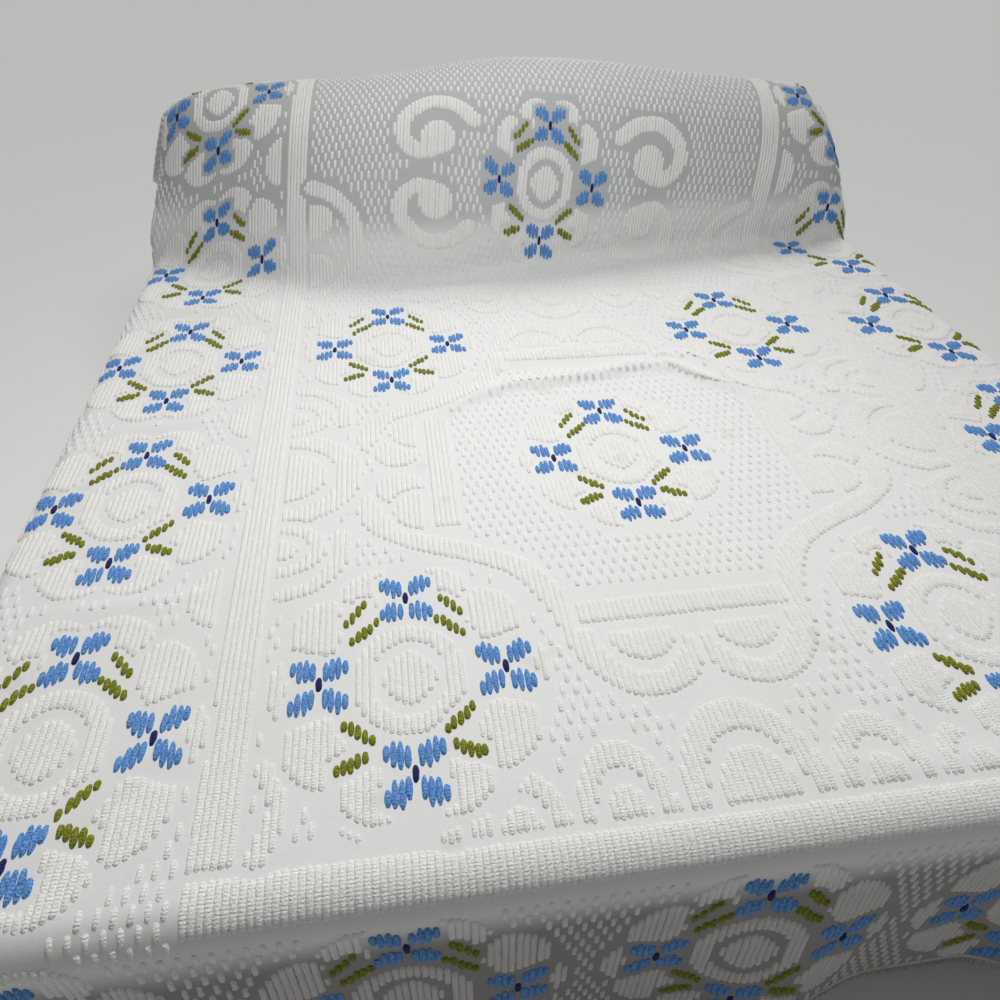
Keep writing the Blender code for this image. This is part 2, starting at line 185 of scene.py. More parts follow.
@dataclass
class Drape:
    """Carries cloth places to the bed: flat on top, up the pillows, down the sides and foot."""

    cloth: ClothSize
    pillow_round: float = 0.10
    mattress_round: float = 0.04
    lean: float = 0.035
    flute_limit: float = 0.42
    corner_ease: float = 0.55
    side_follow: float = 0.35
    back_slope: float = math.radians(7.0)
    rise_ease: float = 0.24
    rise_margin: float = 0.22
    rise_spread: float = 1.25
    crest_run: float = 1.36
    drift: float = 0.058
    drift_from: float = 2.8
    drift_run: float = 2.9
    side_inset: float = 0.042
    right_flare: float = 0.20
    raised_lift: float = 0.20
    slant_lift: float = 0.05
    rises: tuple[Rise, ...] = (
        Rise(-4.0, 3.90, 55.0, 1.17),
        Rise(-2.0, 3.00, 54.0, 1.17),
        Rise(0.0, 3.36, 75.0, 0.99),
        Rise(2.0, 3.65, 76.0, 0.75),
        Rise(3.8, 3.75, 74.0, 0.58),
    )
    creases: tuple[Crease, ...] = (
        Crease(
            (
                (-1.16, 0.66), (-1.04, 0.78), (-0.89, 0.87), (-0.67, 0.97), (-0.35, 1.01),
                (0.08, 1.05), (0.44, 1.14), (0.77, 1.13), (0.93, 0.95), (1.17, 0.72),
            ),
            0.042, 0.0130, 0.36,
        ),
        Crease(((0.66, 1.34), (0.98, 1.30), (1.16, 0.95), (1.33, 0.56)), 0.026, 0.0085, 0.7),
        Crease(((-0.90, 1.40), (-0.10, 1.47), (0.70, 1.52)), 0.050, 0.0060),
        Crease(((-1.60, 2.70), (-0.50, 2.78)), 0.050, 0.008),
        Crease(((-3.80, 2.55), (-3.10, 2.75)), 0.035, 0.006),
    )  # fmt: skip
    puckers: tuple[Crease, ...] = (
        Crease(((-3.70, 0.70), (-2.90, 0.80)), 0.020, 0.0035),
        Crease(((-3.65, 0.88), (-2.95, 0.95)), 0.018, 0.0030),
        Crease(((-3.60, -1.10), (-2.75, -1.02)), 0.022, 0.0030),
        Crease(((-3.30, -2.55), (-2.70, -1.90)), 0.030, 0.0040),
        Crease(((1.60, 1.05), (2.30, 0.20)), 0.030, 0.0040),
        Crease(((2.00, 2.60), (3.20, 2.90)), 0.040, 0.0050),
        Crease(((-2.60, 2.20), (-1.90, 2.95)), 0.035, 0.0040),
        Crease(((0.20, -2.55), (1.60, -2.62)), 0.030, 0.0030),
        Crease(((-2.05, 3.84), (-1.25, 4.03), (-0.10, 4.30)), 0.030, -0.0060),
        Crease(((-1.90, 4.02), (-1.25, 4.16), (-0.10, 4.46)), 0.030, 0.0050),
    )
    foot_flutes: tuple[Flute, ...] = (
        Flute(-0.62, 0.16, 0.12),
        Flute(-0.28, 0.13, 0.06),
        Flute(0.10, 0.17, 0.09),
        Flute(0.55, 0.15, 0.13),
    )
    side_flutes: tuple[Flute, ...] = (
        Flute(-0.66, 0.15, 0.16),
        Flute(-0.30, 0.14, 0.10),
        Flute(0.06, 0.16, 0.17),
        Flute(0.42, 0.14, 0.12),
        Flute(0.74, 0.13, 0.08),
    )
    axis_repeats: float = 0.15
    foot_to_medallion_repeats: float = 2.9
    flat_repeats: float = 2.0
    rise_stops: int = 27
    profile_step: float = 0.005
    slope_window: int = 60
    corner_reach: float = 0.62
    corner_stops: int = 63
    halvings: int = 24
    crease_end: float = 0.3
    level_lift: float = 0.01
    level_drop: float = 0.001
    pucker_drop: float = 0.05
    slow_waves: float = 0.00112
    quick_waves: float = 0.00035

    def __post_init__(self) -> None:
        """Takes the bed's sizes from its packed mattress and works out the tables."""
        low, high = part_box("mattress")
        skin = self.cloth.clearance + self.cloth.pile / 2
        self.top: float = high.z + skin
        self.edge_x, self.edge_y = high.x + skin, high.y + skin
        self.axis_x: float = self.axis_repeats * self.cloth.repeat
        self.medallion_y: float = self.foot_to_medallion_repeats * self.cloth.repeat + low.y
        self.overhang_round: float = self.mattress_round + skin
        self.foot_start: float = self.edge_y - self.overhang_round + self.medallion_y
        across = np.linspace(self.rises[0].at, self.rises[-1].at, self.rise_stops)
        self.places: Grid = across * self.cloth.repeat
        self.lengths, self.profiles, self.fronts, self.backs = self.rise_profiles()
        self.foot_corner = self.corner_tables(self.overhang_round)
        self.head_corner = self.corner_tables(self.pillow_round)

    def rise_profiles(self) -> tuple[Grid, Grid, Grid, Grid]:
        """Works out the cloth's path over the pillows at each place across.

        Returns:
            Lengths along the cloth, a table of y, lift and mean slope by place and length, and
            the lengths at which each place leaves the mattress and reaches the head end.
        """
        repeat, step = self.cloth.repeat, self.profile_step
        lengths = np.arange(self.flat_repeats * repeat, self.cloth.head_hem + self.pillow_round, step)
        kernel = np.ones(self.slope_window) / self.slope_window
        at, starts, angles, runs = np.array([[r.at, r.start, r.angle, r.run] for r in self.rises]).T
        across = self.places / repeat
        tables, fronts, backs = [], [], []
        for start, angle, run in zip(*(curve_through(at, x, across) for x in (starts, angles, runs))):
            begins = start * repeat
            over = np.clip((lengths - begins - run * repeat) / (self.crest_run * repeat), 0.0, 1.0)
            rising = smooth((lengths - begins) / (self.rise_ease * repeat) + 0.5)
            slope = rising * (math.radians(angle) * (1.0 - over) - self.back_slope * over)
            y = lengths[0] + self.medallion_y + np.cumsum(np.cos(slope)) * step
            lift = np.cumsum(np.sin(slope)) * step
            padded = np.pad(slope, self.slope_window // 2, mode="edge")
            mean = np.convolve(padded, kernel, mode="valid")[: len(lengths)]
            tables.append(np.column_stack((y, lift, mean)))
            fronts.append(begins - self.rise_margin * repeat)
            backs.append(np.interp(self.edge_y - self.pillow_round, y, lengths))
        return lengths, np.array(tables), np.array(fronts), np.array(backs)

    def corner_tables(self, radius: float) -> tuple[Grid, Grid, tuple[Grid, Grid, Grid]]:
        """Works out how cloth hangs round a corner in one soft cone.

        Args:
            radius: The radius that the cloth rolls over.

        Returns:
            Distances from the corner, shares of the turn, and tables of reach, bend and drop.
        """
        distances = np.linspace(0.0, self.corner_reach, self.corner_stops)
        shares = np.linspace(0.0, 1.0, self.corner_stops)
        wave = 0.5 - 0.5 * np.cos(2.0 * math.pi * shares)
        turns = shares * QUARTER_TURN
        reach, bends = [], []
        for distance in distances:
            base = float(self.roll(distance, radius)[0])
            low, high = 0.0, 0.5 * distance
            for _ in range(self.halvings):
                swell = 0.5 * (low + high)
                around = base + swell * wave
                run = np.hypot(np.diff(around * np.cos(turns)), np.diff(around * np.sin(turns)))
                short = run.sum() < (base + self.corner_ease * (distance - base)) * QUARTER_TURN
                low, high = (swell, high) if short else (low, swell)
            placed = np.concatenate(([0.0], np.cumsum(run))) / max(run.sum(), 1e-9)
            placed = shares if distance == 0.0 else placed
            reach.append(np.interp(shares, placed, around))
            bends.append(np.interp(shares, placed, shares))
        table = np.array(reach)
        lean = np.clip(np.diff(table, axis=0) / distances[1], -1.0, 1.0)
        fall = np.sqrt(1.0 - np.minimum(lean**2, 0.98)) * distances[1]
        drop = np.concatenate((np.zeros((1, len(shares))), np.cumsum(fall, axis=0)))
        return distances, shares, (table, np.array(bends), drop)

    @staticmethod
    def roll(distance: Grid, radius: Grid) -> tuple[Grid, Grid]:
        """Rolls cloth over an edge.

        Args:
            distance: Lengths of cloth past the start of the edge.
            radius: The edge's radius.

        Returns:
            How far out and how far down the cloth has come.
        """
        turn = np.minimum(distance / radius, QUARTER_TURN)
        hang = np.maximum(distance - radius * QUARTER_TURN, 0.0)
        return radius * np.sin(turn), radius * (1.0 - np.cos(turn)) + hang

    @staticmethod
    def folds(rows: tuple[Flute, ...], along: Grid) -> Grid:
        """Adds up the swell of hanging folds.

        Args:
            rows: The folds.
            along: Places along the edge.

        Returns:
            The swell per metre of drop at each place.
        """
        return sum((f.swell * bump((along - f.at) / f.half_width) for f in rows), along * 0.0)

    def ridges(self, rows: tuple[Crease, ...], u: Grid, v: Grid) -> Grid:
        """Works out the height of soft ridges.

        Args:
            rows: The ridges.
            u: Cloth places across.
            v: Cloth places along.

        Returns:
            The height at each place.
        """
        total = np.zeros_like(u)
        for crease in rows:
            places = np.array(crease.line) * self.cloth.repeat
            runs = np.diff(places, axis=0)
            lengths = np.hypot(runs[:, 0], runs[:, 1])
            nearest, along = np.full_like(u, np.inf), np.zeros_like(u)
            for (u0, v0), (du, dv), length, done in zip(places, runs, lengths, np.cumsum(lengths) - lengths):
                share = np.clip(((u - u0) * du + (v - v0) * dv) / length**2, 0.0, 1.0)
                across, onward = u - u0 - share * du, v - v0 - share * dv
                away = np.hypot(across, onward)
                away = np.where(du * onward < dv * across, away / crease.foot_share, away)
                along = np.where(away < nearest, (done + share * length) / lengths.sum(), along)
                nearest = np.minimum(away, nearest)
            arch = np.sqrt(np.clip(4.0 * along * (1.0 - along), 0.0, 1.0))
            fade = self.crease_end + (1.0 - self.crease_end) * arch
            height = crease.height * fade * bump(nearest / crease.half_width)
            total = np.where(np.abs(height) > np.abs(total), height, total)
        return total

    def unevenness(self, u: Grid, v: Grid) -> Grid:
        """The cloth's slight rise and fall where it doesn't lie quite flat."""
        slow = np.sin(9.1 * u + 3.0 * np.sin(4.3 * v)) * np.sin(7.7 * v + 1.1 + 2.0 * np.sin(5.1 * u))
        quick = np.sin(31.0 * u + 2.0 * np.sin(17.0 * v)) * np.sin(23.0 * v + 0.4 + np.sin(19.0 * u))
        return self.slow_waves * slow + self.quick_waves * quick

    def axis_at(self, v: Grid) -> Grid:
        """How far the spread's middle lies to the right of the bed's middle."""
        return self.axis_x + self.drift * smooth((v / self.cloth.repeat - self.drift_from) / self.drift_run)

    def on_top(self, u: Grid, v: Grid) -> tuple[Grid, Grid, Grid]:
        """Reads the cloth's y, lift and side turn before any overhang."""
        place = np.clip(u, self.places[0], self.places[-1])
        length = np.maximum(v, self.lengths[0])
        y, lift, mean = (
            look_up(self.profiles[:, :, k], self.places, self.lengths, place, length) for k in range(3)
        )
        flat = v < self.lengths[0]
        return np.where(flat, v + self.medallion_y, y), lift * ~flat, self.side_follow * mean * ~flat

    def points(self, u: Grid, v: Grid) -> Grid:
        """Carries cloth places to points on the bed.

        Args:
            u: Cloth places across.
            v: Cloth places along.

        Returns:
            A row of x, y and z for each place, on the middle of the spread's thickness.
        """
        back = np.interp(u, self.places, self.backs)
        past_head, past_foot = np.maximum(v - back, 0.0), np.maximum(-v - self.foot_start, 0.0)
        past_end = past_head + past_foot
        level_v = np.clip(v, -self.foot_start, back)
        y, lift, turn = self.on_top(u, level_v)
        x = u + self.axis_at(level_v)
        rounding = smooth(lift / self.pillow_round - 0.5)
        radius = self.overhang_round + (self.pillow_round - self.overhang_round) * rounding
        above = lift - self.pillow_round
        raised = smooth(above / self.raised_lift)
        edge = self.edge_x - self.side_inset * raised - radius
        past_side = np.maximum(np.abs(x) - edge, 0.0)
        far, angle = np.hypot(past_side, past_end), np.arctan2(past_end, past_side)
        hang = np.maximum(far - radius * QUARTER_TURN, 0.0)
        swell = np.where(past_foot > 0.0, self.folds(self.foot_flutes, x), self.folds(self.side_flutes, y))
        slant = raised * (self.side_inset / np.maximum(above, self.slant_lift) + self.right_flare * (x > 0.0))
        slant = slant * (1.0 - angle / QUARTER_TURN)
        out, down = self.roll(far, radius)
        out = out + np.minimum(swell + self.lean + slant, self.flute_limit) * hang
        for tables, here in ((self.foot_corner, past_foot > 0.0), (self.head_corner, past_head > 0.0)):
            corner = here & (past_side > 0.0)
            distances, shares, values = tables
            turned = angle / QUARTER_TURN
            reach, bend, fall = (look_up(value, distances, shares, far, turned) for value in values)
            out = np.where(corner, reach + (self.lean + slant) * hang, out)
            down = np.where(corner, fall, down)
            angle = np.where(corner, bend * QUARTER_TURN, angle)
        x_edge = np.minimum(np.abs(x), edge)
        found = np.empty((len(u), 3))
        found[:, 0] = np.sign(x) * (x_edge + out * np.cos(angle) * (past_side > 0.0))
        found[:, 1] = y + out * np.sin(angle) * np.sign(past_head - past_foot) + down * np.sin(turn)
        found[:, 2] = self.top + lift - down * np.cos(turn)
        level = (lift < self.level_lift) & (down < self.level_drop)
        found[:, 2] += self.ridges(self.creases, u, v) * level
        near_level = 1.0 - smooth(down / self.pucker_drop)
        found[:, 2] += (self.ridges(self.puckers, u, v) + self.unevenness(u, v)) * near_level
        return found

    def surface(self, u: Grid, v: Grid, step: float = 0.003) -> tuple[Grid, Grid]:
        """Carries cloth places to the bed, with the way the cloth faces there.

        Args:
            u: Cloth places across.
            v: Cloth places along.
            step: How far apart the places are that the facing is read from.

        Returns:
            Points, and unit normals out of the cloth's upper side.
        """
        across = self.points(u + step, v) - self.points(u - step, v)
        along = self.points(u, v + step) - self.points(u, v - step)
        normal = np.cross(across, along)
        normal /= np.maximum(np.linalg.norm(normal, axis=1), 1e-12)[:, None]
        return self.points(u, v), normal

    def edge_start(self, side: Grid, v: Grid) -> Grid:
        """How far from the bed's middle the cloth starts to roll over its side."""
        lift = self.on_top(side * (self.edge_x - self.pillow_round) - self.axis_at(v), v)[1]
        extra = (self.pillow_round - self.overhang_round) * smooth(lift / self.pillow_round - 0.5)
        inset = self.side_inset * smooth((lift - self.pillow_round) / self.raised_lift)
        return self.edge_x - self.overhang_round - extra - inset

    def length_at(self, q: Grid, u: Grid) -> Grid:
        """The place along the cloth for q from 0, the head end, to 1, the foot end."""
        front, back = (np.interp(u, self.places, ends) for ends in (self.fronts, self.backs))
        rising = np.clip(1.0 - 2.0 * q, 0.0, 1.0) ** self.rise_spread
        level = np.clip(2.0 * q - 1.0, 0.0, 1.0)
        return front + rising * (back - front) - level * (front + self.foot_start)

    def cloth_place(self, p: Grid, q: Grid, reach: Grid = 0.0) -> tuple[Grid, Grid]:
        """Maps a square grid to cloth places, so that its outline is the hem.

        Args:
            p: Across, from -2 to 2, with the top between -1 and 1.
            q: Along, from -1, the head hem, to 2, the foot hem, with the top between 0 and 1.
            reach: How far beyond the hem the outermost places are carried.

        Returns:
            The places' u and v.
        """
        side = np.where(p < 0.0, -1.0, 1.0)
        on_bed = np.clip(q, 0.0, 1.0)
        edge_v = self.length_at(on_bed, side * (self.edge_x - self.pillow_round) - self.axis_x)
        start, axis = self.edge_start(side, edge_v), self.axis_at(edge_v)
        top_u = np.clip(p, -1.0, 1.0) * start - axis
        top_v = self.length_at(on_bed, top_u)
        side_reach = self.cloth.half_width - start + side * axis
        a = np.clip(np.abs(p) - 1.0, 0.0, 1.0)
        b = np.clip(q - 1.0, 0.0, 1.0) + np.clip(-q, 0.0, 1.0)
        part = np.maximum(a, b)
        safe = np.where(part == 0.0, 1.0, part)
        turn = np.where(a >= b, 0.5 * b / safe, 1.0 - 0.5 * a / safe) * QUARTER_TURN
        foot_reach = -self.cloth.foot_hem - self.foot_start
        toward_foot = np.hypot(np.cos(turn) / side_reach, np.sin(turn) / foot_reach)
        head_reach = self.cloth.head_hem - top_v
        toward_head = np.maximum(np.cos(turn) / side_reach, np.sin(turn) / head_reach)
        far = part / np.where(q < 0.0, toward_head, toward_foot) + reach * (part >= 1.0)
        along = far * np.sin(turn) * np.where(q < 0.0, 1.0, -1.0) * (b > 0.0)
        return top_u + side * far * np.cos(turn) * (a > 0.0), top_v + along


# ---------------------------------------------------------------- the tufted design


class Tuft(Enum):
    """What is tufted at a place of the design."""

    BARE = 0
    WHITE = 1
    BLUE = 2
    NAVY = 3
    GREEN = 4


@dataclass(frozen=True)
class Wreath:
    """A ring with four flowers, eight leaves and a rosette: centre and rosette in repeats."""

    u: float
    v: float
    rosette_u: float = 0.76
    rosette_v: float = 0.86


@dataclass(frozen=True)
class Runs:
    """Lengths of tufting along rows: row numbers, and starts and ends in metres."""

    rows: Grid
    starts: Grid
    ends: Grid

    def pick(self, wanted: Grid) -> "Runs":
        """The runs that a mask picks."""
        return Runs(self.rows[wanted], self.starts[wanted], self.ends[wanted])


@dataclass
class Design:
    """The design of the spread, laid out row by row on the cloth."""

    cloth: ClothSize
    steps_in_row: int = 6
    foot_margin: float = 0.008
    head_margin: float = 0.010
    dash_rows: float = 2.5
    dash_period_rows: float = 4.9
    shortest_steps: int = 4
    shortest_white_steps: int = 8
    kept_share: float = 0.8
    border_u: float = 3.37
    border_v: float = -0.15
    border_pitch: float = 1.81
    corner_u: float = 1.6
    corner_v: float = 1.76
    top_wreath_v: float = 4.10
    boss_u: float = 2.35
    arch_v: float = 2.66
    band_u: tuple[float, float] = (2.40, 2.59)
    foot_band_v: tuple[float, float] = (-2.91, -2.68)
    leaves: tuple[tuple[float, float, float, float, int], ...] = (
        (-0.325, 0.40, -0.210, 0.525, 4),
        (-0.310, 0.270, -0.160, 0.385, 5),
        (0.205, 0.53, 0.320, 0.415, 4),
        (0.160, 0.385, 0.310, 0.270, 5),
        (-0.335, -0.250, -0.185, -0.350, 5),
        (-0.365, -0.495, -0.215, -0.440, 5),
        (0.185, -0.340, 0.335, -0.225, 5),
        (0.205, -0.430, 0.355, -0.485, 5),
    )
    flowers: tuple[tuple[int, float], ...] = ((-14, 0.0), (15, 0.0), (0, 0.55), (0, -0.55))
    petal_halves: tuple[float, ...] = (0.062, 0.077, 0.073, 0.046)
    petal_centre: float = 0.084
    petal_slant: float = 0.010
    navy_half: float = 0.046
    leaf_half: float = 0.046
    leaf_taper: float = 0.28
    lobe_gap: float = 0.022
    inner_ground: tuple[float, float] = (0.64, 0.72)

    def __post_init__(self) -> None:
        """Sets out the rows and steps, and draws the design on them."""
        last = int(self.cloth.half_width_repeats * self.cloth.rows_in_repeat) - 1
        self.rows = np.arange(-last, last + 1)
        self.step = self.cloth.row / self.steps_in_row
        first, end = self.cloth.foot_hem + self.foot_margin, self.cloth.head_hem - self.head_margin
        self.along = np.arange(first, end, self.step)
        self.u = self.rows[:, None] / self.cloth.rows_in_repeat + 0.0 * self.along[None, :]
        self.v = self.along[None, :] / self.cloth.repeat + 0.0 * self.u
        self.white = np.zeros(self.u.shape, bool)
        self.kinds = np.zeros(self.u.shape, np.int8)
        self.draw()

    def wreaths(self) -> list[Wreath]:
        """Every wreath of the design."""
        found = [Wreath(0.0, 0.0, 0.72, 0.80), Wreath(0.0, self.top_wreath_v, 0.62, 0.84)]
        for u in (-self.corner_u, self.corner_u):
            found += [Wreath(u, v, 0.74, 0.82) for v in (-self.corner_v, self.corner_v)]
        for k in range(-2, 4):
            v = self.border_v + k * self.border_pitch
            found += [Wreath(side * self.border_u, v) for side in (-1, 1)]
        foot_v = self.border_v - 2 * self.border_pitch
        return found + [Wreath(u * self.border_u, foot_v, rosette_v=0.80) for u in (-0.5, 0.0, 0.5)]

    @staticmethod
    def grown(mask: Grid, rows: int, steps: int) -> Grid:
        """Widens a mask by an oval of rows across and steps along."""
        wide = mask.copy()
        for r in range(-rows, rows + 1):
            reach = int(round(steps * math.sqrt(max(0.0, 1.0 - (r / (rows + 0.6)) ** 2))))
            for s in range(-reach, reach + 1):
                wide |= np.roll(np.roll(mask, r, axis=0), s, axis=1)
        return wide

    @staticmethod
    def oval(u: Grid, v: Grid, centre: tuple[float, float], half: tuple[float, float]) -> Grid:
        """How far places are from an oval's centre, as a share of its half sizes."""
        return np.hypot((u - centre[0]) / half[0], (v - centre[1]) / half[1])

    @staticmethod
    def strap(u: Grid, v: Grid, line: tuple[tuple[float, float], ...], half: float) -> Grid:
        """Marks a strap that follows a smooth line.

        Args:
            u: Places across, in repeats.
            v: Places along, in repeats.
            line: Points of the strap's middle line.
            half: Half its width.

        Returns:
            A mask of the places within the strap.
        """
        points = np.array(line)
        knots = np.arange(len(points), dtype=float)
        fine = np.linspace(0.0, knots[-1], 6 * len(points))
        path = np.column_stack([curve_through(knots, points[:, k], fine) for k in range(2)])
        low, high = path.min(0) - half, path.max(0) + half
        found = (u > low[0]) & (u < high[0]) & (v > low[1]) & (v < high[1])
        at = np.column_stack((u[found], v[found]))
        nearest = np.full(len(at), np.inf)
        for start, end in zip(path[:-1], path[1:]):
            run = end - start
            share = np.clip(((at - start) @ run) / max(run @ run, 1e-12), 0.0, 1.0)
            nearest = np.minimum(nearest, np.linalg.norm(at - start - share[:, None] * run, axis=1))
        found[found] = nearest < half
        return found

    def lay(self, mask: Grid) -> None:
        """Fills a shape with white tufts and leaves a bare line round it."""
        self.white &= ~self.grown(mask, 1, self.steps_in_row)
        self.white |= mask

    def lay_ringed(self, share: Grid, ring: float, disc: float, within: Grid) -> None:
        """Lays an oval's ring, and a disc in its middle, within a mask.

        Args:
            share: How far places are from the oval's centre, as a share of its half sizes.
            ring: The share at which the ring begins.
            disc: The share at which the disc ends.
            within: Where they may lie.
        """
        self.lay((share < 1.0) & (share > ring) & within)
        self.lay((share < disc) & within)

    def draw(self) -> None:
        """Draws every shape, from the ground up."""
        a, b = np.abs(self.u), np.abs(self.v)
        self.draw_bands(a)
        self.draw_medallion(a, b)
        self.draw_boss(a, b)
        self.draw_arches(a, b)
        self.draw_scrolls(a)
        self.draw_border_lobes(a)
        wreaths = self.wreaths()
        for wreath in wreaths:
            self.draw_rosette(wreath)
        bare = self.grown(self.white, 1, self.steps_in_row + 2) | self.inside_rosettes(wreaths)
        dots = self.whole(self.dots(), bare)
        self.kinds[self.white | dots] = Tuft.WHITE.value
        for wreath in wreaths:
            self.draw_flowers(wreath)

    def dots(self) -> Grid:
        """The short dashes that fill the ground, staggered from row to row."""
        place = self.v * self.cloth.rows_in_repeat / self.dash_period_rows + 0.5 * (self.rows[:, None] % 2)
        return place % 1.0 < self.dash_rows / self.dash_period_rows

    def whole(self, dots: Grid, bare: Grid) -> Grid:
        """Keeps the dashes that stand mostly clear of the bare ground round the shapes."""
        starts = dots & ~np.roll(dots, 1, axis=1)
        number = np.cumsum(starts.ravel()) * dots.ravel()
        free = np.bincount(number, weights=(~bare).ravel())
        size = np.bincount(number)
        kept = (free / np.maximum(size, 1) > self.kept_share)[number] & (number > 0)
        return kept.reshape(dots.shape)

    def draw_bands(self, a: Grid) -> None:
        """The long bands along both sides, and the band across the foot edge."""
        low, high = self.foot_band_v
        self.lay((a > self.band_u[0]) & (a < self.band_u[1]) & (self.v > high + 0.03))
        self.lay((a < self.band_u[1]) & (self.v > low) & (self.v < high))

    def draw_medallion(self, a: Grid, b: Grid) -> None:
        """The frame round the middle wreath: bars, straps, balls and half leaves."""
        outline = (
            (1.66, 0.22), (1.78, 0.34), (1.74, 0.54), (1.50, 0.73), (1.20, 0.86), (0.92, 1.02),
            (0.76, 1.25), (0.67, 1.50), (0.60, 1.76), (0.40, 1.96), (0.15, 1.92), (0.08, 1.74),
        )  # fmt: skip
        self.lay(self.strap(a, b, outline, 0.082))
        self.lay((a > 1.20) & (a < 1.36) & (b < 0.62))
        self.lay((a < 0.62) & (b > 1.36) & (b < 1.53))
        self.lay(self.oval(a, b, (1.58, 0.20), (0.165, 0.165)) < 1.0)
        self.lay((self.oval(a, b, (1.43, 0.44), (0.20, 0.19)) < 1.0) & (a > 1.43))
        self.lay((self.oval(a, b, (0.30, 1.60), (0.20, 0.22)) < 1.0) & (b > 1.60))

    def draw_boss(self, a: Grid, b: Grid) -> None:
        """The half-round bosses that stand on the side bands, with their small neighbours."""
        base = a < self.boss_u
        halves = ((0.52, 0.50), (0.35, 0.33), (0.27, 0.26))
        outer, inner, core = (self.oval(a, b, (self.boss_u, 0.0), half) for half in halves)
        self.lay((outer < 1.0) & (inner > 1.0) & base)
        self.lay((core < 1.0) & base)
        self.lay_ringed(self.oval(a, b, (self.boss_u, 0.72), (0.30, 0.24)), 0.62, 0.40, base)
        self.lay(self.strap(a, b, ((1.98, 0.62), (1.98, 0.86), (2.12, 1.04), (2.30, 1.10)), 0.055))

    def draw_arches(self, a: Grid, b: Grid) -> None:
        """The row of arches beyond the medallion, towards the foot and the head."""
        arches = (
            (0.0, (0.37, 0.56), 0.66, 0.52),
            (0.64, (0.24, 0.40), 0.62, 0.42),
            (1.14, (0.23, 0.30), 0.62, 0.42),
        )
        for centre, half, ring, disc in arches:
            self.lay_ringed(self.oval(a, b, (centre, self.arch_v), half), ring, disc, b < self.arch_v)
        self.lay(self.strap(a, b, ((1.46, 2.62), (1.62, 2.50), (1.84, 2.56), (2.02, 2.40)), 0.055))
        self.lay(self.strap(a, b, ((2.30, 2.62), (2.22, 2.40), (2.30, 2.20)), 0.05))

    def draw_scrolls(self, a: Grid) -> None:
        """The scrolls beside the top wreath and the bow that stands on each side band."""
        c = np.abs(self.v - self.top_wreath_v)
        hook = (
            (0.76, 0.50), (0.94, 0.64), (1.20, 0.67), (1.42, 0.50),
            (1.44, 0.29), (1.30, 0.15), (1.16, 0.16),
        )  # fmt: skip
        self.lay(self.strap(a, c, hook, 0.080) | (self.oval(a, c, (1.10, 0.29), (0.17, 0.18)) < 1.0))
        bow = ((2.34, 2.82), (2.08, 2.98), (1.90, 3.24), (1.90, 3.60), (2.08, 3.86), (2.34, 4.02))
        self.lay(self.strap(a, self.v, bow, 0.07))
        for centre in (3.18, 3.66):
            self.lay((self.oval(a, self.v, (self.boss_u, centre), (0.24, 0.19)) < 1.0) & (a < self.boss_u))

    def draw_border_lobes(self, a: Grid) -> None:
        """The small lobes between the wreaths of the border."""
        middle = (self.v - self.border_v) / self.border_pitch
        c = np.abs(middle - np.floor(middle) - 0.5) * self.border_pitch
        for centre, half in ((2.66, (0.17, 0.24)), (4.26, (0.15, 0.22))):
            self.lay((self.oval(a, c, (centre, 0.0), half) < 1.0) & (a > 2.66) & (self.v > -2.6))

    def local(self, wreath: Wreath) -> tuple[Grid, Grid]:
        """Places measured from a wreath's centre, with its middle on a row."""
        middle = round(wreath.u * self.cloth.rows_in_repeat) / self.cloth.rows_in_repeat
        return self.u - middle, self.v - wreath.v

    def inside_rosettes(self, wreaths: list[Wreath]) -> Grid:
        """Marks the ground inside the wreaths' rosettes, which has no dots."""
        found = np.zeros(self.u.shape, bool)
        for wreath in wreaths:
            found |= self.oval(*self.local(wreath), (0.0, 0.0), self.inner_ground) < 1.0
        return found

    def draw_rosette(self, wreath: Wreath) -> None:
        """The white parts of a wreath: ten lobes, the ring, and the pointed oval inside it."""
        du, dv = self.local(wreath)
        angle = np.arctan2(dv / wreath.rosette_v, du / wreath.rosette_u)
        share = self.oval(du, dv, (0.0, 0.0), (wreath.rosette_u, wreath.rosette_v))
        lobe = np.abs(np.cos(5.0 * angle))
        gap = lobe * share * wreath.rosette_u / 5.0 < self.lobe_gap
        self.white &= share >= 1.04
        self.lay((share < 0.84 + 0.16 * np.sqrt(lobe)) & (share > 0.60) & ~gap)
        ring = self.oval(du, dv, (0.0, 0.0), (0.30, 0.35))
        self.lay((ring < 1.0) & (ring > 0.66))
        self.lay((np.abs(du) / 0.15) ** 1.5 + (np.abs(dv) / 0.18) ** 1.5 < 1.0)

    def draw_flowers(self, wreath: Wreath) -> None:
        """The coloured parts of a wreath, with bare ground round them."""
        middle = round(wreath.u * self.cloth.rows_in_repeat)
        marks: list[tuple[int, float, float, Tuft]] = []
        for flower_row, flower_v in self.flowers:
            row, v = middle + flower_row, wreath.v + flower_v
            marks.append((row, v, self.navy_half, Tuft.NAVY))
            for off, half in enumerate(self.petal_halves, 1):
                away = self.petal_centre + self.petal_slant * (off - 1)
                corners = ((side, end) for side in (-1, 1) for end in (-1, 1))
                marks += [(row + side * off, v + end * away, half, Tuft.BLUE) for side, end in corners]
        for u0, v0, u1, v1, count in self.leaves:
            first = middle + round(u0 * self.cloth.rows_in_repeat)
            for k, share in enumerate(np.linspace(0.0, 1.0, count)):
                half = self.leaf_half * (1.0 - self.leaf_taper * (2.0 * share - 1.0) ** 2)
                marks.append((first + k, wreath.v + v0 + (v1 - v0) * share, half, Tuft.GREEN))
        drawn = np.zeros(self.u.shape, bool)
        for row, v, half, _ in marks:
            self.dash(drawn, row, v, half, True)
        self.kinds[self.grown(drawn, 1, self.steps_in_row // 2 + 1)] = Tuft.BARE.value
        for row, v, half, kind in marks:
            self.dash(self.kinds, row, v, half, kind.value)

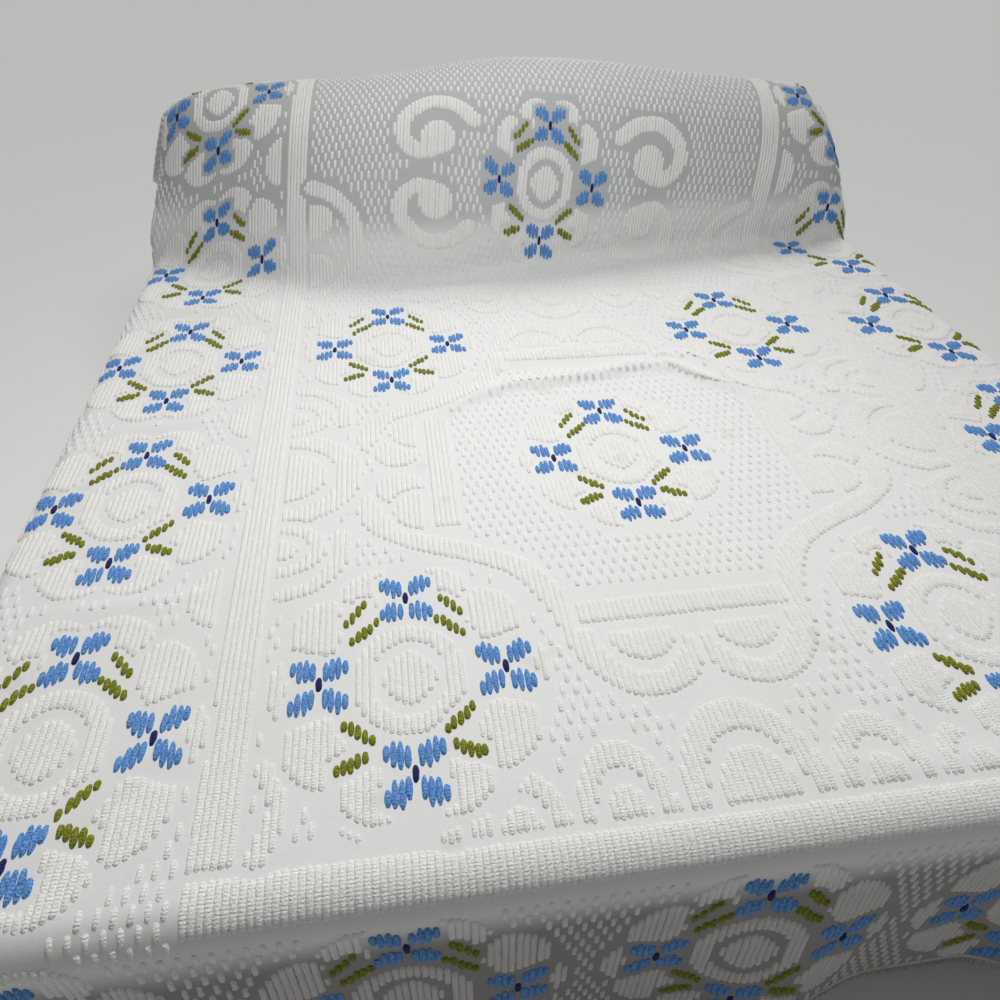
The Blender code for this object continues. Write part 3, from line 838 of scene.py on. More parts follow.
    def dash(self, grid: Grid, row: int, v: float, half: float, value: int) -> None:
        """Writes a value along part of one row."""
        if abs(row) <= self.rows[-1]:
            grid[row + self.rows[-1], np.abs(self.v[0] - v) < half] = value

    def runs(self, kind: Tuft) -> Runs:
        """Gathers the lengths of one kind of tuft, without the very short ones."""
        mask = np.pad(self.kinds == kind.value, ((0, 0), (1, 1))).astype(np.int8)
        change = np.diff(mask, axis=1)
        rows, first = np.nonzero(change == 1)
        last = np.nonzero(change == -1)[1]
        kept = last - first >= (self.shortest_white_steps if kind is Tuft.WHITE else self.shortest_steps)
        starts, ends = (self.along[0] + (at - 0.5) * self.step for at in (first, last))
        return Runs(self.rows[rows], starts, ends).pick(kept)


# ---------------------------------------------------------------- meshes from grids


def grid_piece(
    name: str, points: Grid, breaks: Grid | None = None, round_it: bool = False
) -> bpy.types.Object:
    """Makes a smooth mesh by moving the corners of a plain grid.

    Args:
        name: The piece's name.
        points: Points by column and row.
        breaks: Marks the gaps between columns that stay open.
        round_it: Whether the last row meets the first, so that their points are merged.

    Returns:
        The new object, linked to the scene.
    """
    columns, rows = points.shape[:2]
    bm = bmesh.new()
    bmesh.ops.create_grid(bm, x_segments=columns - 1, y_segments=rows - 1, size=0.5)
    if breaks is not None:
        last = columns - 1
        spots = ((f, int((f.calc_center_median().x + 0.5) * last)) for f in bm.faces)
        bmesh.ops.delete(bm, geom=[f for f, at in spots if breaks[at]], context="FACES")
    for vertex in bm.verts:
        column = round((vertex.co.x + 0.5) * (columns - 1))
        row = round((vertex.co.y + 0.5) * (rows - 1))
        vertex.co = points[column, row]
    if round_it:
        bmesh.ops.remove_doubles(bm, verts=bm.verts, dist=1e-6)
    return finished(name, bm)


def finished(name: str, bm: bmesh.types.BMesh) -> bpy.types.Object:
    """Turns a bmesh into an object that rides on the bed.

    Args:
        name: The piece's name.
        bm: The shape, in metres where it lies.

    Returns:
        The new object, linked to the scene.
    """
    mesh = bpy.data.meshes.new(name)
    bm.to_mesh(mesh)
    bm.free()
    mesh.shade_smooth()
    piece = bpy.data.objects.new(name, mesh)
    bpy.context.scene.collection.objects.link(piece)
    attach(piece, "root")
    LOG.info("%s: %d faces", name, len(mesh.polygons))
    return piece


def add_cloth_map(piece: bpy.types.Object, places: Grid) -> None:
    """Gives a piece a UV map of cloth places, in metres."""
    layer = piece.data.uv_layers.new(name="cloth")
    corners = np.zeros(len(piece.data.loops), np.int32)
    piece.data.loops.foreach_get("vertex_index", corners)
    layer.data.foreach_set("uv", places[corners].astype(np.float32).ravel())


# ---------------------------------------------------------------- the spread


@dataclass
class Ground:
    """The plain woven ground cloth that everything is tufted on."""

    drape: Drape
    side_stops: int = 22
    top_stops: int = 150
    rise_stops: int = 60
    level_stops: int = 104
    head_stops: int = 13
    foot_stops: int = 32
    hang_spread: float = 1.2

    def stops(self) -> tuple[Grid, Grid]:
        """The square grid's stops across and along."""
        side = 1.0 + np.linspace(0.0, 1.0, self.side_stops + 1) ** self.hang_spread
        foot = 1.0 + np.linspace(0.0, 1.0, self.foot_stops + 1) ** self.hang_spread
        head = -np.linspace(0.0, 1.0, self.head_stops + 1)
        top = np.linspace(-1.0, 1.0, self.top_stops + 1)[1:-1]
        rising = np.linspace(0.0, 0.5, self.rise_stops + 1)
        level = np.linspace(0.5, 1.0, self.level_stops + 1)[1:-1]
        return np.concatenate((-side[::-1], top, side)), np.concatenate((head[:0:-1], rising, level, foot))

    def build(self) -> bpy.types.Object:
        """Builds the cloth as one thin sheet from hem to hem.

        Returns:
            The sheet, with its UV map of cloth places.
        """
        across, along = self.stops()
        p, q = (x.ravel() for x in np.meshgrid(across, along[::-1], indexing="ij"))
        u, v = self.drape.cloth_place(p, q)
        points, normals = self.drape.surface(u, v)
        cloth = self.drape.cloth
        points += normals * (cloth.ground - cloth.pile) / 2
        shape = (len(across), len(along))
        piece = grid_piece("spread_ground", points.reshape(*shape, 3))
        places = np.column_stack((u, v)).reshape(*shape, 2).transpose(1, 0, 2).reshape(-1, 2)
        add_cloth_map(piece, places)
        solid = piece.modifiers.new("thickness", "SOLIDIFY")
        solid.thickness = cloth.ground
        solid.offset = 0.0
        return piece


@dataclass
class Tufting:
    """Makes runs of tufting as low fluffy ridges that follow the cloth."""

    drape: Drape
    width: float = 0.0085
    height: float = 0.0031
    step: float = 0.0070
    tip: float = 0.0030
    pointed: bool = False
    short_run: float = 0.028
    short_fullness: float = 0.80
    least_fullness: float = 0.88
    fullness_range: float = 0.24
    blunt_end: float = 0.30
    point_end: float = 0.12
    row_shift: float = 0.0012
    end_shift: float = 0.0016
    along_shift: float = 0.0010
    side_shift: float = 0.0007
    sunk: float = 0.0005
    profile_points: int = 5
    seed: int = 11

    def spots(self, length: float) -> Grid:
        """Where along one run its cross-sections stand."""
        if self.pointed:
            count = max(5, round(length / self.step) + 3)
            return length * (0.5 - 0.5 * np.cos(np.linspace(0.0, math.pi, count)))
        tip = min(self.tip, 0.3 * length)
        inner = max(1, round((length - 2 * tip) / self.step))
        return np.concatenate(([0.0], np.linspace(tip, length - tip, inner + 1), [length]))

    def build(self, name: str, runs: Runs) -> bpy.types.Object:
        """Builds one piece from many runs.

        Args:
            name: The piece's name.
            runs: The runs to make.

        Returns:
            The joined piece, with its UV map of cloth places.
        """
        random = np.random.default_rng(self.seed + len(name))
        lengths = runs.ends - runs.starts
        spots = [self.spots(length) for length in lengths]
        counts = np.array([len(s) for s in spots])
        owner = np.repeat(np.arange(len(spots)), counts)
        offset = np.concatenate(spots)
        first = np.zeros(len(offset), bool)
        first[np.concatenate(([0], np.cumsum(counts)[:-1]))] = True
        at_end = first | np.roll(first, -1)
        shift = (random.random((len(spots), 2)) - 0.5) * (self.row_shift, self.end_shift)
        v = runs.starts[owner] + offset + shift[owner, 1]
        v += (random.random(len(offset)) - 0.5) * self.along_shift
        u = runs.rows[owner] * self.drape.cloth.row + shift[owner, 0]
        u += (random.random(len(offset)) - 0.5) * self.side_shift
        fullness = self.least_fullness + self.fullness_range * random.random(len(offset))
        fullness *= np.where(lengths[owner] < self.short_run, self.short_fullness, 1.0)
        if self.pointed:
            dome = np.sqrt(np.clip(1.0 - (2.0 * offset / lengths[owner] - 1.0) ** 2, 0.0, 1.0))
            fullness *= self.point_end + (1.0 - self.point_end) * dome
        else:
            fullness[at_end] = self.blunt_end
        points, places = self.ridge(u, v, fullness, at_end)
        piece = grid_piece(name, points[:, ::-1], np.roll(first, -1))
        add_cloth_map(piece, places[:, ::-1].transpose(1, 0, 2).reshape(-1, 2))
        return piece

    def ridge(self, u: Grid, v: Grid, fullness: Grid, at_end: Grid) -> tuple[Grid, Grid]:
        """Works out the half-round cross-sections of tufting.

        Args:
            u: The sections' cloth places across.
            v: Their cloth places along.
            fullness: How full each section is.
            at_end: Marks the sections that end a run.

        Returns:
            The points of every section, and their cloth places.
        """
        normals = self.drape.surface(u, v)[1]
        base = self.drape.cloth.ground - self.drape.cloth.pile / 2 - self.sunk
        half_width = 0.5 * self.width * np.minimum(fullness * 1.05, 1.02)
        height = self.height * fullness * (1.0 - 0.25 * at_end)
        points = np.empty((len(u), self.profile_points, 3))
        places = np.empty((len(u), self.profile_points, 2))
        for k, angle in enumerate(np.linspace(0.0, math.pi, self.profile_points)):
            sideways = -math.cos(angle) * half_width
            lift = base + math.sin(angle) * height
            points[:, k] = self.drape.points(u + sideways, v) + normals * lift[:, None]
            places[:, k] = np.column_stack((u + sideways, v))
        return points, places


@dataclass
class Fringe:
    """The short cut fringe along the two sides and the foot, with its sewn heading."""

    drape: Drape
    hem_stops: int = 240
    spacing: float = 0.0013
    clump: float = 0.0062
    clump_shift: float = 0.3
    gather: float = 0.8
    strand_width: float = 0.0014
    strand_start: float = -0.002
    facing_step: float = 0.0006
    least_length: float = 0.019
    clump_lengths: float = 0.006
    strand_lengths: float = 0.003
    sway: float = 0.004
    lift: float = 0.0035
    sunk: float = 0.0008
    stations: tuple[tuple[float, float], ...] = ((0.0, 1.0), (0.35, 1.15), (0.70, 0.8), (1.0, 0.12))
    heading_step: float = 0.008
    heading_start: float = -0.0035
    heading_width: float = 0.0055
    heading_height: float = 0.0026
    heading_sunk: float = 0.0016
    seed: int = 5

    def __post_init__(self) -> None:
        """Measures the hem, from the head down one side, across the foot and up the other side."""
        fine = np.linspace(0.0, 1.0, self.hem_stops)
        side, foot = np.full(2 * self.hem_stops, 2.0), np.linspace(-2.0, 2.0, 3 * self.hem_stops)
        self.p = np.concatenate((-side, foot, side))
        self.q = np.concatenate((fine, 1.0 + fine, np.full(len(foot), 2.0), 2.0 - fine, 1.0 - fine))
        line = self.drape.points(*self.drape.cloth_place(self.p, self.q))
        self.lengths = np.concatenate(([0.0], np.cumsum(np.linalg.norm(np.diff(line, axis=0), axis=1))))

    def spots(self, spacing: float) -> Grid:
        """Evenly spaced lengths along the hem."""
        return np.arange(spacing, self.lengths[-1] - spacing, spacing)

    def place(self, along: Grid) -> tuple[Grid, Grid]:
        """The grid places at lengths along the hem."""
        return np.interp(along, self.lengths, self.p), np.interp(along, self.lengths, self.q)

    def build_strands(self) -> bpy.types.Object:
        """Builds the strands, drawn together in pointed clumps.

        Returns:
            The strands as one joined piece.
        """
        random = np.random.default_rng(self.seed)
        root = self.spots(self.spacing)
        root = root + (random.random(len(root)) - 0.5) * self.spacing
        clump = np.floor(root / self.clump).astype(int)
        clumps = clump.max() + 1
        middle = (clump + 0.5 + self.clump_shift * (random.random(clumps)[clump] - 0.5)) * self.clump
        length = self.least_length + self.clump_lengths * random.random(clumps)[clump]
        length += self.strand_lengths * random.random(len(root))
        length = np.minimum(length, self.drape.cloth.fringe_length)
        sway = self.sway * (random.random(clumps)[clump] - 0.5)
        lift = self.lift * (random.random(len(root)) - 0.4)
        corners = np.arange(4) * 2.0 * math.pi / 3.0
        count = len(self.stations)
        points = np.empty((len(root) * count, len(corners), 3))
        for k, (share, girth) in enumerate(self.stations):
            p, q = self.place(root + (middle - root) * self.gather * share + sway * share**2)
            far = self.strand_start + (length - self.strand_start) * share
            centre, normal = self.drape.surface(*self.drape.cloth_place(p, q, far))
            down = self.drape.points(*self.drape.cloth_place(p, q, far + self.facing_step)) - centre
            down /= np.linalg.norm(down, axis=1)[:, None]
            across = np.cross(normal, down)
            centre = centre + normal * (lift * share - self.sunk)[:, None]
            for j, corner in enumerate(corners):
                ring = across * math.cos(corner) + normal * math.sin(corner)
                points[k::count, j] = centre + ring * 0.5 * self.strand_width * girth
        breaks = np.zeros(len(points), bool)
        breaks[count - 1 :: count] = True
        return grid_piece("fringe_strands", points, breaks, round_it=True)

    def build_heading(self) -> bpy.types.Object:
        """Builds the twisted heading that is sewn along the hem.

        Returns:
            The heading as one low ridge.
        """
        p, q = self.place(self.spots(self.heading_step))
        columns = []
        for share in np.linspace(0.0, 1.0, 5):
            far = self.heading_start + self.heading_width * share
            centre, normal = self.drape.surface(*self.drape.cloth_place(p, q, far))
            rise = self.heading_height * math.sin(math.pi * share) - self.heading_sunk
            columns.append(centre + normal * rise)
        return grid_piece("fringe_heading", np.array(columns).transpose(1, 0, 2)[:, ::-1])


@dataclass
class Bedspread:
    """The whole spread: ground, tufts of each colour, and fringe."""

    drape: Drape
    split_v: float = 0.62
    rounded_area: float = 0.985
    coloured_sheen: float = 0.08
    pieces: dict[str, bpy.types.Object] = field(default_factory=dict)

    def build(self) -> None:
        cloth = self.drape.cloth
        design = Design(cloth)
        ground = Ground(self.drape).build()
        white = design.runs(Tuft.WHITE)
        towards_head = (white.starts + white.ends) / 2 > self.split_v * cloth.repeat
        left = white.rows < 0
        zones = {
            "tufts_white_foot_left": ~towards_head & left,
            "tufts_white_foot_right": ~towards_head & ~left,
            "tufts_white_head_left": towards_head & left,
            "tufts_white_head_right": towards_head & ~left,
        }
        maker = Tufting(self.drape)
        self.pieces = {name: maker.build(name, white.pick(zone)) for name, zone in zones.items()}
        thick = Tufting(
            self.drape,
            width=0.0090,
            height=0.0043,
            step=0.0050,
            pointed=True,
            short_run=0.0,
            end_shift=0.0044,
        )
        for kind in (Tuft.BLUE, Tuft.NAVY, Tuft.GREEN):
            name = f"tufts_{kind.name.lower()}"
            self.pieces[name] = thick.build(name, design.runs(kind))
        fringe = Fringe(self.drape)
        self.pieces["fringe_strands"] = fringe.build_strands()
        self.pieces["fringe_heading"] = fringe.build_heading()
        self.pieces["spread_ground"] = ground
        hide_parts("bedspread")
        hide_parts("fringe")

    def dress(self) -> None:
        """Gives each piece its material."""
        self.pieces["spread_ground"].data.materials.append(GroundCloth().material())
        colours = {
            "blue": ((0.23, 0.48, 0.84), (0.016, 0.12, 0.43)),
            "navy": ((0.018, 0.030, 0.18), (0.005, 0.008, 0.06)),
            "green": ((0.34, 0.36, 0.024), (0.075, 0.095, 0.003)),
        }
        yarns = {"tufts_white": ChenilleYarn("chenille_off_white", (0.93, 0.925, 0.90), (0.80, 0.79, 0.76))}
        for name, (light, deep) in colours.items():
            yarns[f"tufts_{name}"] = ChenilleYarn(f"chenille_{name}", light, deep, sheen=self.coloured_sheen)
        # The fringe hangs below the mattress's top, so it gets the pale yarn's painted shade all over.
        yarns["fringe"] = ChenilleYarn("fringe_cotton", (0.84, 0.84, 0.80), (0.68, 0.68, 0.64), bead=0.0)
        for start, yarn in yarns.items():
            made = yarn.material()
            for name, piece in self.pieces.items():
                if name.startswith(start):
                    piece.data.materials.append(made)


# ---------------------------------------------------------------- what it lies on


def rounded_block(name: str, low: Vector, high: Vector, rounding: float, segments: int) -> bpy.types.Object:
    """Makes a block with rounded edges.

    Args:
        name: The piece's name.
        low: The block's lowest corner.
        high: Its highest corner.
        rounding: How far its edges are rounded.
        segments: Faces across each rounded edge.

    Returns:
        The block.
    """
    bm = bmesh.new()
    bmesh.ops.create_cube(bm, size=1.0)
    bmesh.ops.scale(bm, vec=high - low, verts=bm.verts)
    bmesh.ops.translate(bm, vec=(low + high) / 2, verts=bm.verts)
    bmesh.ops.bevel(
        bm,
        geom=bm.edges[:],
        affect="EDGES",
        offset=rounding,
        segments=segments,
        profile=0.5,
        material=-1,
        clamp_overlap=True,
    )
    return finished(name, bm)


def rounded_loop(half_x: float, half_y: float, corner: float, z: float, steps: int) -> list[Vector]:
    """Sets out a level rectangle with rounded corners.

    Args:
        half_x: Half its length along x.
        half_y: Half its length along y.
        corner: Its corners' radius.
        z: Its height.
        steps: Steps round each corner.

    Returns:
        Its points, in order.
    """
    points = []
    for k, (sx, sy) in enumerate(((1, 1), (-1, 1), (-1, -1), (1, -1))):
        middle = Vector((sx * (half_x - corner), sy * (half_y - corner), z))
        for step in range(steps + 1):
            turn = QUARTER_TURN * (k + step / steps)
            points.append(middle + corner * Vector((math.cos(turn), math.sin(turn), 0.0)))
    return points


def joined_cords(name: str, lines: list[list[Vector]], radius: float) -> bpy.types.Object:
    """Makes closed cords along lines as one piece.

    Args:
        name: The piece's name.
        lines: The points of each closed line.
        radius: The cords' radius.

    Returns:
        The piece.
    """
    curve = bpy.data.curves.new(name + "_line", "CURVE")
    curve.dimensions = "3D"
    curve.bevel_depth = radius
    curve.bevel_resolution = 3
    for line in lines:
        spline = curve.splines.new("POLY")
        spline.points.add(len(line) - 1)
        spline.use_cyclic_u = True
        for point, place in zip(spline.points, line):
            point.co = (*place, 1.0)
    holder = bpy.data.objects.new(name + "_line", curve)
    bpy.context.scene.collection.objects.link(holder)
    mesh = bpy.data.meshes.new_from_object(holder.evaluated_get(bpy.context.evaluated_depsgraph_get()))
    bpy.data.objects.remove(holder)
    bm = bmesh.new()
    bm.from_mesh(mesh)
    bpy.data.meshes.remove(mesh)
    bmesh.ops.remove_doubles(bm, verts=bm.verts, dist=1e-5)
    bmesh.ops.recalc_face_normals(bm, faces=bm.faces)
    return finished(name, bm)


@dataclass
class Mattress:
    """The plain mattress, with piping round its upper and lower edges."""

    piping: float = 0.004
    piping_sunk: float = 0.0015
    piping_from_face: float = 0.048
    piping_corner: float = 0.040
    rounding: float = 0.036

    def build(self) -> None:
        """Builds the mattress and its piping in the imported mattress's box."""
        low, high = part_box("mattress")
        inset = Vector((self.piping, self.piping, 0.0))
        body = rounded_block("mattress_body", low + inset, high - inset, self.rounding, 6)
        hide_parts("mattress")
        half_x, half_y = (side - self.piping - self.piping_sunk for side in (high.x, high.y))
        heights = (low.z + self.piping_from_face, high.z - self.piping_from_face)
        lines = [rounded_loop(half_x, half_y, self.piping_corner, z, 6) for z in heights]
        trim = joined_cords("mattress_piping", lines, self.piping)
        body.data.materials.append(Ticking().material())
        trim.data.materials.append(PlainWeave("piping_cotton", (0.62, 0.62, 0.60)).material())


@dataclass
class BedBase:
    """The upholstered base, with a piped top edge."""

    rounding: float = 0.011
    piping: float = 0.003

    def build(self) -> None:
        """Builds the base in its packed box."""
        low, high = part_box("bed_base")
        body = rounded_block("base_cover", low, high, self.rounding, 4)
        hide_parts("bed_base")
        line = rounded_loop(high.x, high.y, self.rounding, high.z - self.rounding, 4)
        trim = joined_cords("base_piping", [line], self.piping)
        cover = PlainWeave("base_linen", (0.46, 0.43, 0.39), thread=0.0016).material()
        for piece in (body, trim):
            piece.data.materials.append(cover)


@dataclass
class Pillow:
    """One of the two pillows that are propped under the spread."""

    node: str
    voxel: float = 0.011
    softenings: int = 14
    ripple: float = 0.0025
    drawn_in: float = 0.001
    seed: int = 3

    def build(self) -> bpy.types.Object:
        """Builds the pillow as a soft closed form in its packed place.

        Returns:
            The pillow.
        """
        bm = bmesh.new()
        bm.from_mesh(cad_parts[self.node].data)
        bmesh.ops.remove_doubles(bm, verts=bm.verts, dist=1e-5)
        piece = finished(self.node + "_case", bm)
        remesh = piece.modifiers.new("voxels", "REMESH")
        remesh.mode = "VOXEL"
        remesh.voxel_size = self.voxel
        evaluated = piece.evaluated_get(bpy.context.evaluated_depsgraph_get())
        bm = bmesh.new()
        bm.from_mesh(evaluated.to_mesh())
        piece.modifiers.clear()
        axes = {"use_axis_x": True, "use_axis_y": True, "use_axis_z": True}
        for _ in range(self.softenings):
            bmesh.ops.smooth_vert(bm, verts=bm.verts, factor=0.5, **axes)
        for vertex in bm.verts:
            x, y, z = vertex.co
            wave = math.sin(24 * x + 3 * math.sin(17 * z))
            wave *= math.sin(31 * z + 2 * math.sin(13 * y + self.seed))
            vertex.co += vertex.normal * (self.ripple * wave - self.drawn_in)
        bm.to_mesh(piece.data)
        bm.free()
        piece.data.shade_smooth()
        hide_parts(self.node)
        return piece


# ---------------------------------------------------------------- finishes


class Tree:
    """Adds and joins nodes in one shader tree."""

    def __init__(self, tree: bpy.types.NodeTree) -> None:
        """Keeps the tree that nodes go into."""
        self.tree = tree

    def add(self, kind: str, **settings: object) -> bpy.types.Node:
        """Adds a node.

        Args:
            kind: The node's type, without its ShaderNode prefix.
            settings: Properties of the node, or numbers for the inputs of those names.

        Returns:
            The new node.
        """
        prefix = "" if kind.startswith("NodeGroup") else "ShaderNode"
        node = self.tree.nodes.new(prefix + kind)
        for name, value in settings.items():
            if hasattr(node, name):
                setattr(node, name, value)
            else:
                node.inputs[name.replace("_", " ")].default_value = value
        return node

    def link(self, source: bpy.types.NodeSocket, target: bpy.types.NodeSocket) -> None:
        """Joins an output to an input."""
        self.tree.links.new(source, target)

    def maths(self, operation: str, *values: object) -> bpy.types.NodeSocket:
        """Works out a sum of sockets or numbers.

        Args:
            operation: The Math node's operation.
            values: The operation's sockets or numbers, in order.

        Returns:
            The result's socket.
        """
        node = self.add("Math", operation=operation)
        for socket, value in zip(node.inputs, values):
            if isinstance(value, bpy.types.NodeSocket):
                self.link(value, socket)
            else:
                socket.default_value = value
        return node.outputs[0]

    def mixed(self, factor: bpy.types.NodeSocket, first: object, second: object) -> bpy.types.NodeSocket:
        """Mixes two colours by a factor.

        Args:
            factor: How much of the second colour there is.
            first: The first colour, as a socket or numbers.
            second: The second one.

        Returns:
            The mixed colour's socket.
        """
        node = self.add("Mix", data_type="RGBA")
        self.link(factor, node.inputs["Factor"])
        for name, value in (("A", first), ("B", second)):
            socket = next(s for s in node.inputs if s.name == name and s.type == "RGBA")
            if isinstance(value, bpy.types.NodeSocket):
                self.link(value, socket)
            else:
                socket.default_value = (*value, 1.0)
        return next(s for s in node.outputs if s.type == "RGBA")

    def place(self) -> bpy.types.NodeSocket:
        """The places on the object itself."""
        return self.add("TexCoord").outputs["Object"]

    def cloth_place(self) -> bpy.types.NodeSocket:
        """The places on the flat cloth, in metres."""
        return self.add("UVMap", uv_map="cloth").outputs[0]

    def parts(self, vector: bpy.types.NodeSocket) -> list[bpy.types.NodeSocket]:
        """Splits a vector into its x, y and z.

        Args:
            vector: The vector's socket.

        Returns:
            The three sockets.
        """
        node = self.add("SeparateXYZ")
        self.link(vector, node.inputs[0])
        return list(node.outputs)

    def group(self, name: str, vector: bpy.types.NodeSocket, **values: float) -> bpy.types.Node:
        """Adds one of the shared patterns.

        Args:
            name: The pattern's name in PATTERNS.
            vector: The places that it follows.
            values: Numbers for its inputs.

        Returns:
            The group's node.
        """
        node = self.add("Group", node_tree=shared_pattern(name), **values)
        self.link(vector, node.inputs["Vector"])
        return node


def fill_fluff(tree: Tree, start: bpy.types.Node, end: bpy.types.Node) -> None:
    """Draws soft cut fibres: a shade and a height that vary from tuft to tuft.

    Args:
        tree: The group's tree.
        start: The group's inputs.
        end: The group's outputs.
    """
    coarse = tree.add("TexNoise", Detail=3.0, Roughness=0.6)
    fine = tree.add("TexNoise", Detail=2.0, Roughness=0.7)
    cells = tree.add("TexVoronoi", feature="F1")
    for node, finer in ((coarse, 1.0), (fine, 2.6), (cells, 0.9)):
        tree.link(tree.maths("MULTIPLY", start.outputs["Scale"], finer), node.inputs["Scale"])
        tree.link(start.outputs["Vector"], node.inputs["Vector"])
    dome = tree.maths("SUBTRACT", 1.0, cells.outputs["Distance"])
    height = tree.maths("MULTIPLY_ADD", dome, 0.6, tree.maths("MULTIPLY", coarse.outputs[0], 0.5))
    tree.link(tree.maths("MULTIPLY_ADD", fine.outputs[0], 0.25, height), end.inputs["Height"])
    shade = tree.maths("MULTIPLY_ADD", coarse.outputs[0], 2.6, -0.95)
    tree.link(tree.maths("MULTIPLY_ADD", fine.outputs[0], 0.3, shade), end.inputs["Shade"])


def fill_weave(tree: Tree, start: bpy.types.Node, end: bpy.types.Node) -> None:
    """Draws a plain weave: a height that rises over every second crossing.

    Args:
        tree: The group's tree.
        start: The group's inputs.
        end: The group's outputs.
    """
    turns = tree.maths("MULTIPLY", start.outputs["Threads"], math.pi)
    along = tree.parts(start.outputs["Vector"])
    waves = [tree.maths("SINE", tree.maths("MULTIPLY", part, turns)) for part in along]
    flat = tree.maths("MULTIPLY", waves[0], waves[1])
    upright = tree.maths("MULTIPLY", tree.maths("ADD", waves[0], waves[1]), waves[2])
    height = tree.maths("MULTIPLY_ADD", upright, 0.5, flat)
    noise = tree.add("TexNoise", Scale=140.0, Detail=3.0)
    tree.link(start.outputs["Vector"], noise.inputs["Vector"])
    for name, share in (("Height", 0.5), ("Shade", 0.15)):
        tree.link(tree.maths("MULTIPLY_ADD", height, share, noise.outputs[0]), end.inputs[name])


def fill_age_marks(tree: Tree, start: bpy.types.Node, end: bpy.types.Node) -> None:
    """Draws faint age marks: soft patches, and a few small spots.

    Args:
        tree: The group's tree.
        start: The group's inputs.
        end: The group's outputs.
    """
    soft = tree.add("TexNoise", Detail=3.0, Roughness=0.55)
    small = tree.add("TexNoise", Detail=1.0)
    marks = (("Patches", soft, 2.6, 0.50, 0.72), ("Spots", small, 17.0, 0.70, 0.78))
    for name, node, finer, low, high in marks:
        tree.link(tree.maths("MULTIPLY", start.outputs["Scale"], finer), node.inputs["Scale"])
        tree.link(start.outputs["Vector"], node.inputs["Vector"])
        ranged = tree.add("MapRange", From_Min=low, From_Max=high, interpolation_type="SMOOTHSTEP")
        tree.link(node.outputs[0], ranged.inputs["Value"])
        tree.link(ranged.outputs["Result"], end.inputs[name])


@dataclass(frozen=True)
class Pattern:
    """A pattern that several finishes share: its one number, that number's default, and its outputs."""

    number: str
    default: float
    outputs: tuple[str, ...]
    fill: Callable[[Tree, bpy.types.Node, bpy.types.Node], None]


PATTERNS = {
    "fluff": Pattern("Scale", 600.0, ("Shade", "Height"), fill_fluff),
    "plain_weave": Pattern("Threads", 600.0, ("Shade", "Height"), fill_weave),
    "age_marks": Pattern("Scale", 1.0, ("Patches", "Spots"), fill_age_marks),
}


def shared_pattern(name: str) -> bpy.types.NodeTree:
    """Finds a pattern's node group, or makes it when it is first asked for.

    Args:
        name: The pattern's name in PATTERNS.

    Returns:
        The node group.
    """
    found = bpy.data.node_groups.get(name)
    if found:
        return found
    pattern = PATTERNS[name]
    made = bpy.data.node_groups.new(name, "ShaderNodeTree")
    made.interface.new_socket("Vector", in_out="INPUT", socket_type="NodeSocketVector")
    number = made.interface.new_socket(pattern.number, in_out="INPUT", socket_type="NodeSocketFloat")
    number.default_value = pattern.default
    for output in pattern.outputs:
        made.interface.new_socket(output, in_out="OUTPUT", socket_type="NodeSocketFloat")
    tree = Tree(made)
    pattern.fill(tree, tree.add("NodeGroupInput"), tree.add("NodeGroupOutput"))
    return made


class ClothTree(Tree):
    """The tree of one matt cloth material."""

    def __init__(self, name: str, roughness: float, sheen: float) -> None:
        """Starts the material.

        Args:
            name: The material's name.
            roughness: How matt it is.
            sheen: How strongly its loose fibres catch the light.
        """
        self.made = bpy.data.materials.new(name)
        self.made.use_nodes = True
        super().__init__(self.made.node_tree)
        self.shader = self.tree.nodes["Principled BSDF"]
        settings = {
            "Roughness": roughness,
            "Sheen Weight": sheen,
            "Sheen Roughness": 0.6,
            "Specular IOR Level": 0.15,
        }
        for key, value in settings.items():
            self.shader.inputs[key].default_value = value

    def aged(self, place: bpy.types.NodeSocket, colour: object, amount: float = 0.10) -> bpy.types.NodeSocket:
        """Tints a colour with the spread's faint age marks.

        Args:
            place: The places that the marks follow.
            colour: The colour, as a socket or numbers.
            amount: How strong the marks are.

        Returns:
            The tinted colour's socket.
        """
        marks = self.group("age_marks", place)
        tints = {"Patches": (1.0, (0.66, 0.63, 0.52)), "Spots": (1.6, (0.52, 0.46, 0.34))}
        for name, (strength, tint) in tints.items():
            share = self.maths("MULTIPLY", marks.outputs[name], strength * amount)
            colour = self.mixed(share, colour, tint)
        return colour

    def painted_shade_by_height(
        self,
        place: bpy.types.NodeSocket,
        colour: object,
        shade: Colour,
        levels: tuple[float, float],
        amount: float,
    ) -> bpy.types.NodeSocket:
        """Paints shade into a colour between two heights: mixes a darker colour in, standing in for shade on
        the steep and hanging parts.

        Args:
            place: The place on the object.
            colour: The cloth's own colour.
            shade: The colour of the painted shade.
            levels: Heights over the mattress's top where the painted shade begins, and where it is strongest.
            amount: How strong the painted shade is there.

        Returns:
            The mixed colour.
        """
        start, full = (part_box("mattress")[1].z + level for level in levels)
        # How much painted shade there is at each height.
        thin = self.add(
            "MapRange", From_Min=start, From_Max=full, To_Max=amount, interpolation_type="SMOOTHSTEP"
        )
        self.link(self.parts(place)[2], thin.inputs["Value"])
        return self.mixed(thin.outputs["Result"], colour, shade)

    def finished(
        self, colour: bpy.types.NodeSocket, height: bpy.types.NodeSocket, strength: float, distance: float
    ) -> bpy.types.Material:
        """Gives the shader its colour and its relief.

        Args:
            colour: The colour.
            height: The relief's height.
            strength: How strongly the relief shows.
            distance: How deep it is, in metres.

        Returns:
            The material.
        """
        self.link(colour, self.shader.inputs["Base Color"])
        relief = self.add("Bump", Strength=strength, Distance=distance)
        self.link(height, relief.inputs["Height"])
        self.link(relief.outputs["Normal"], self.shader.inputs["Normal"])
        return self.made


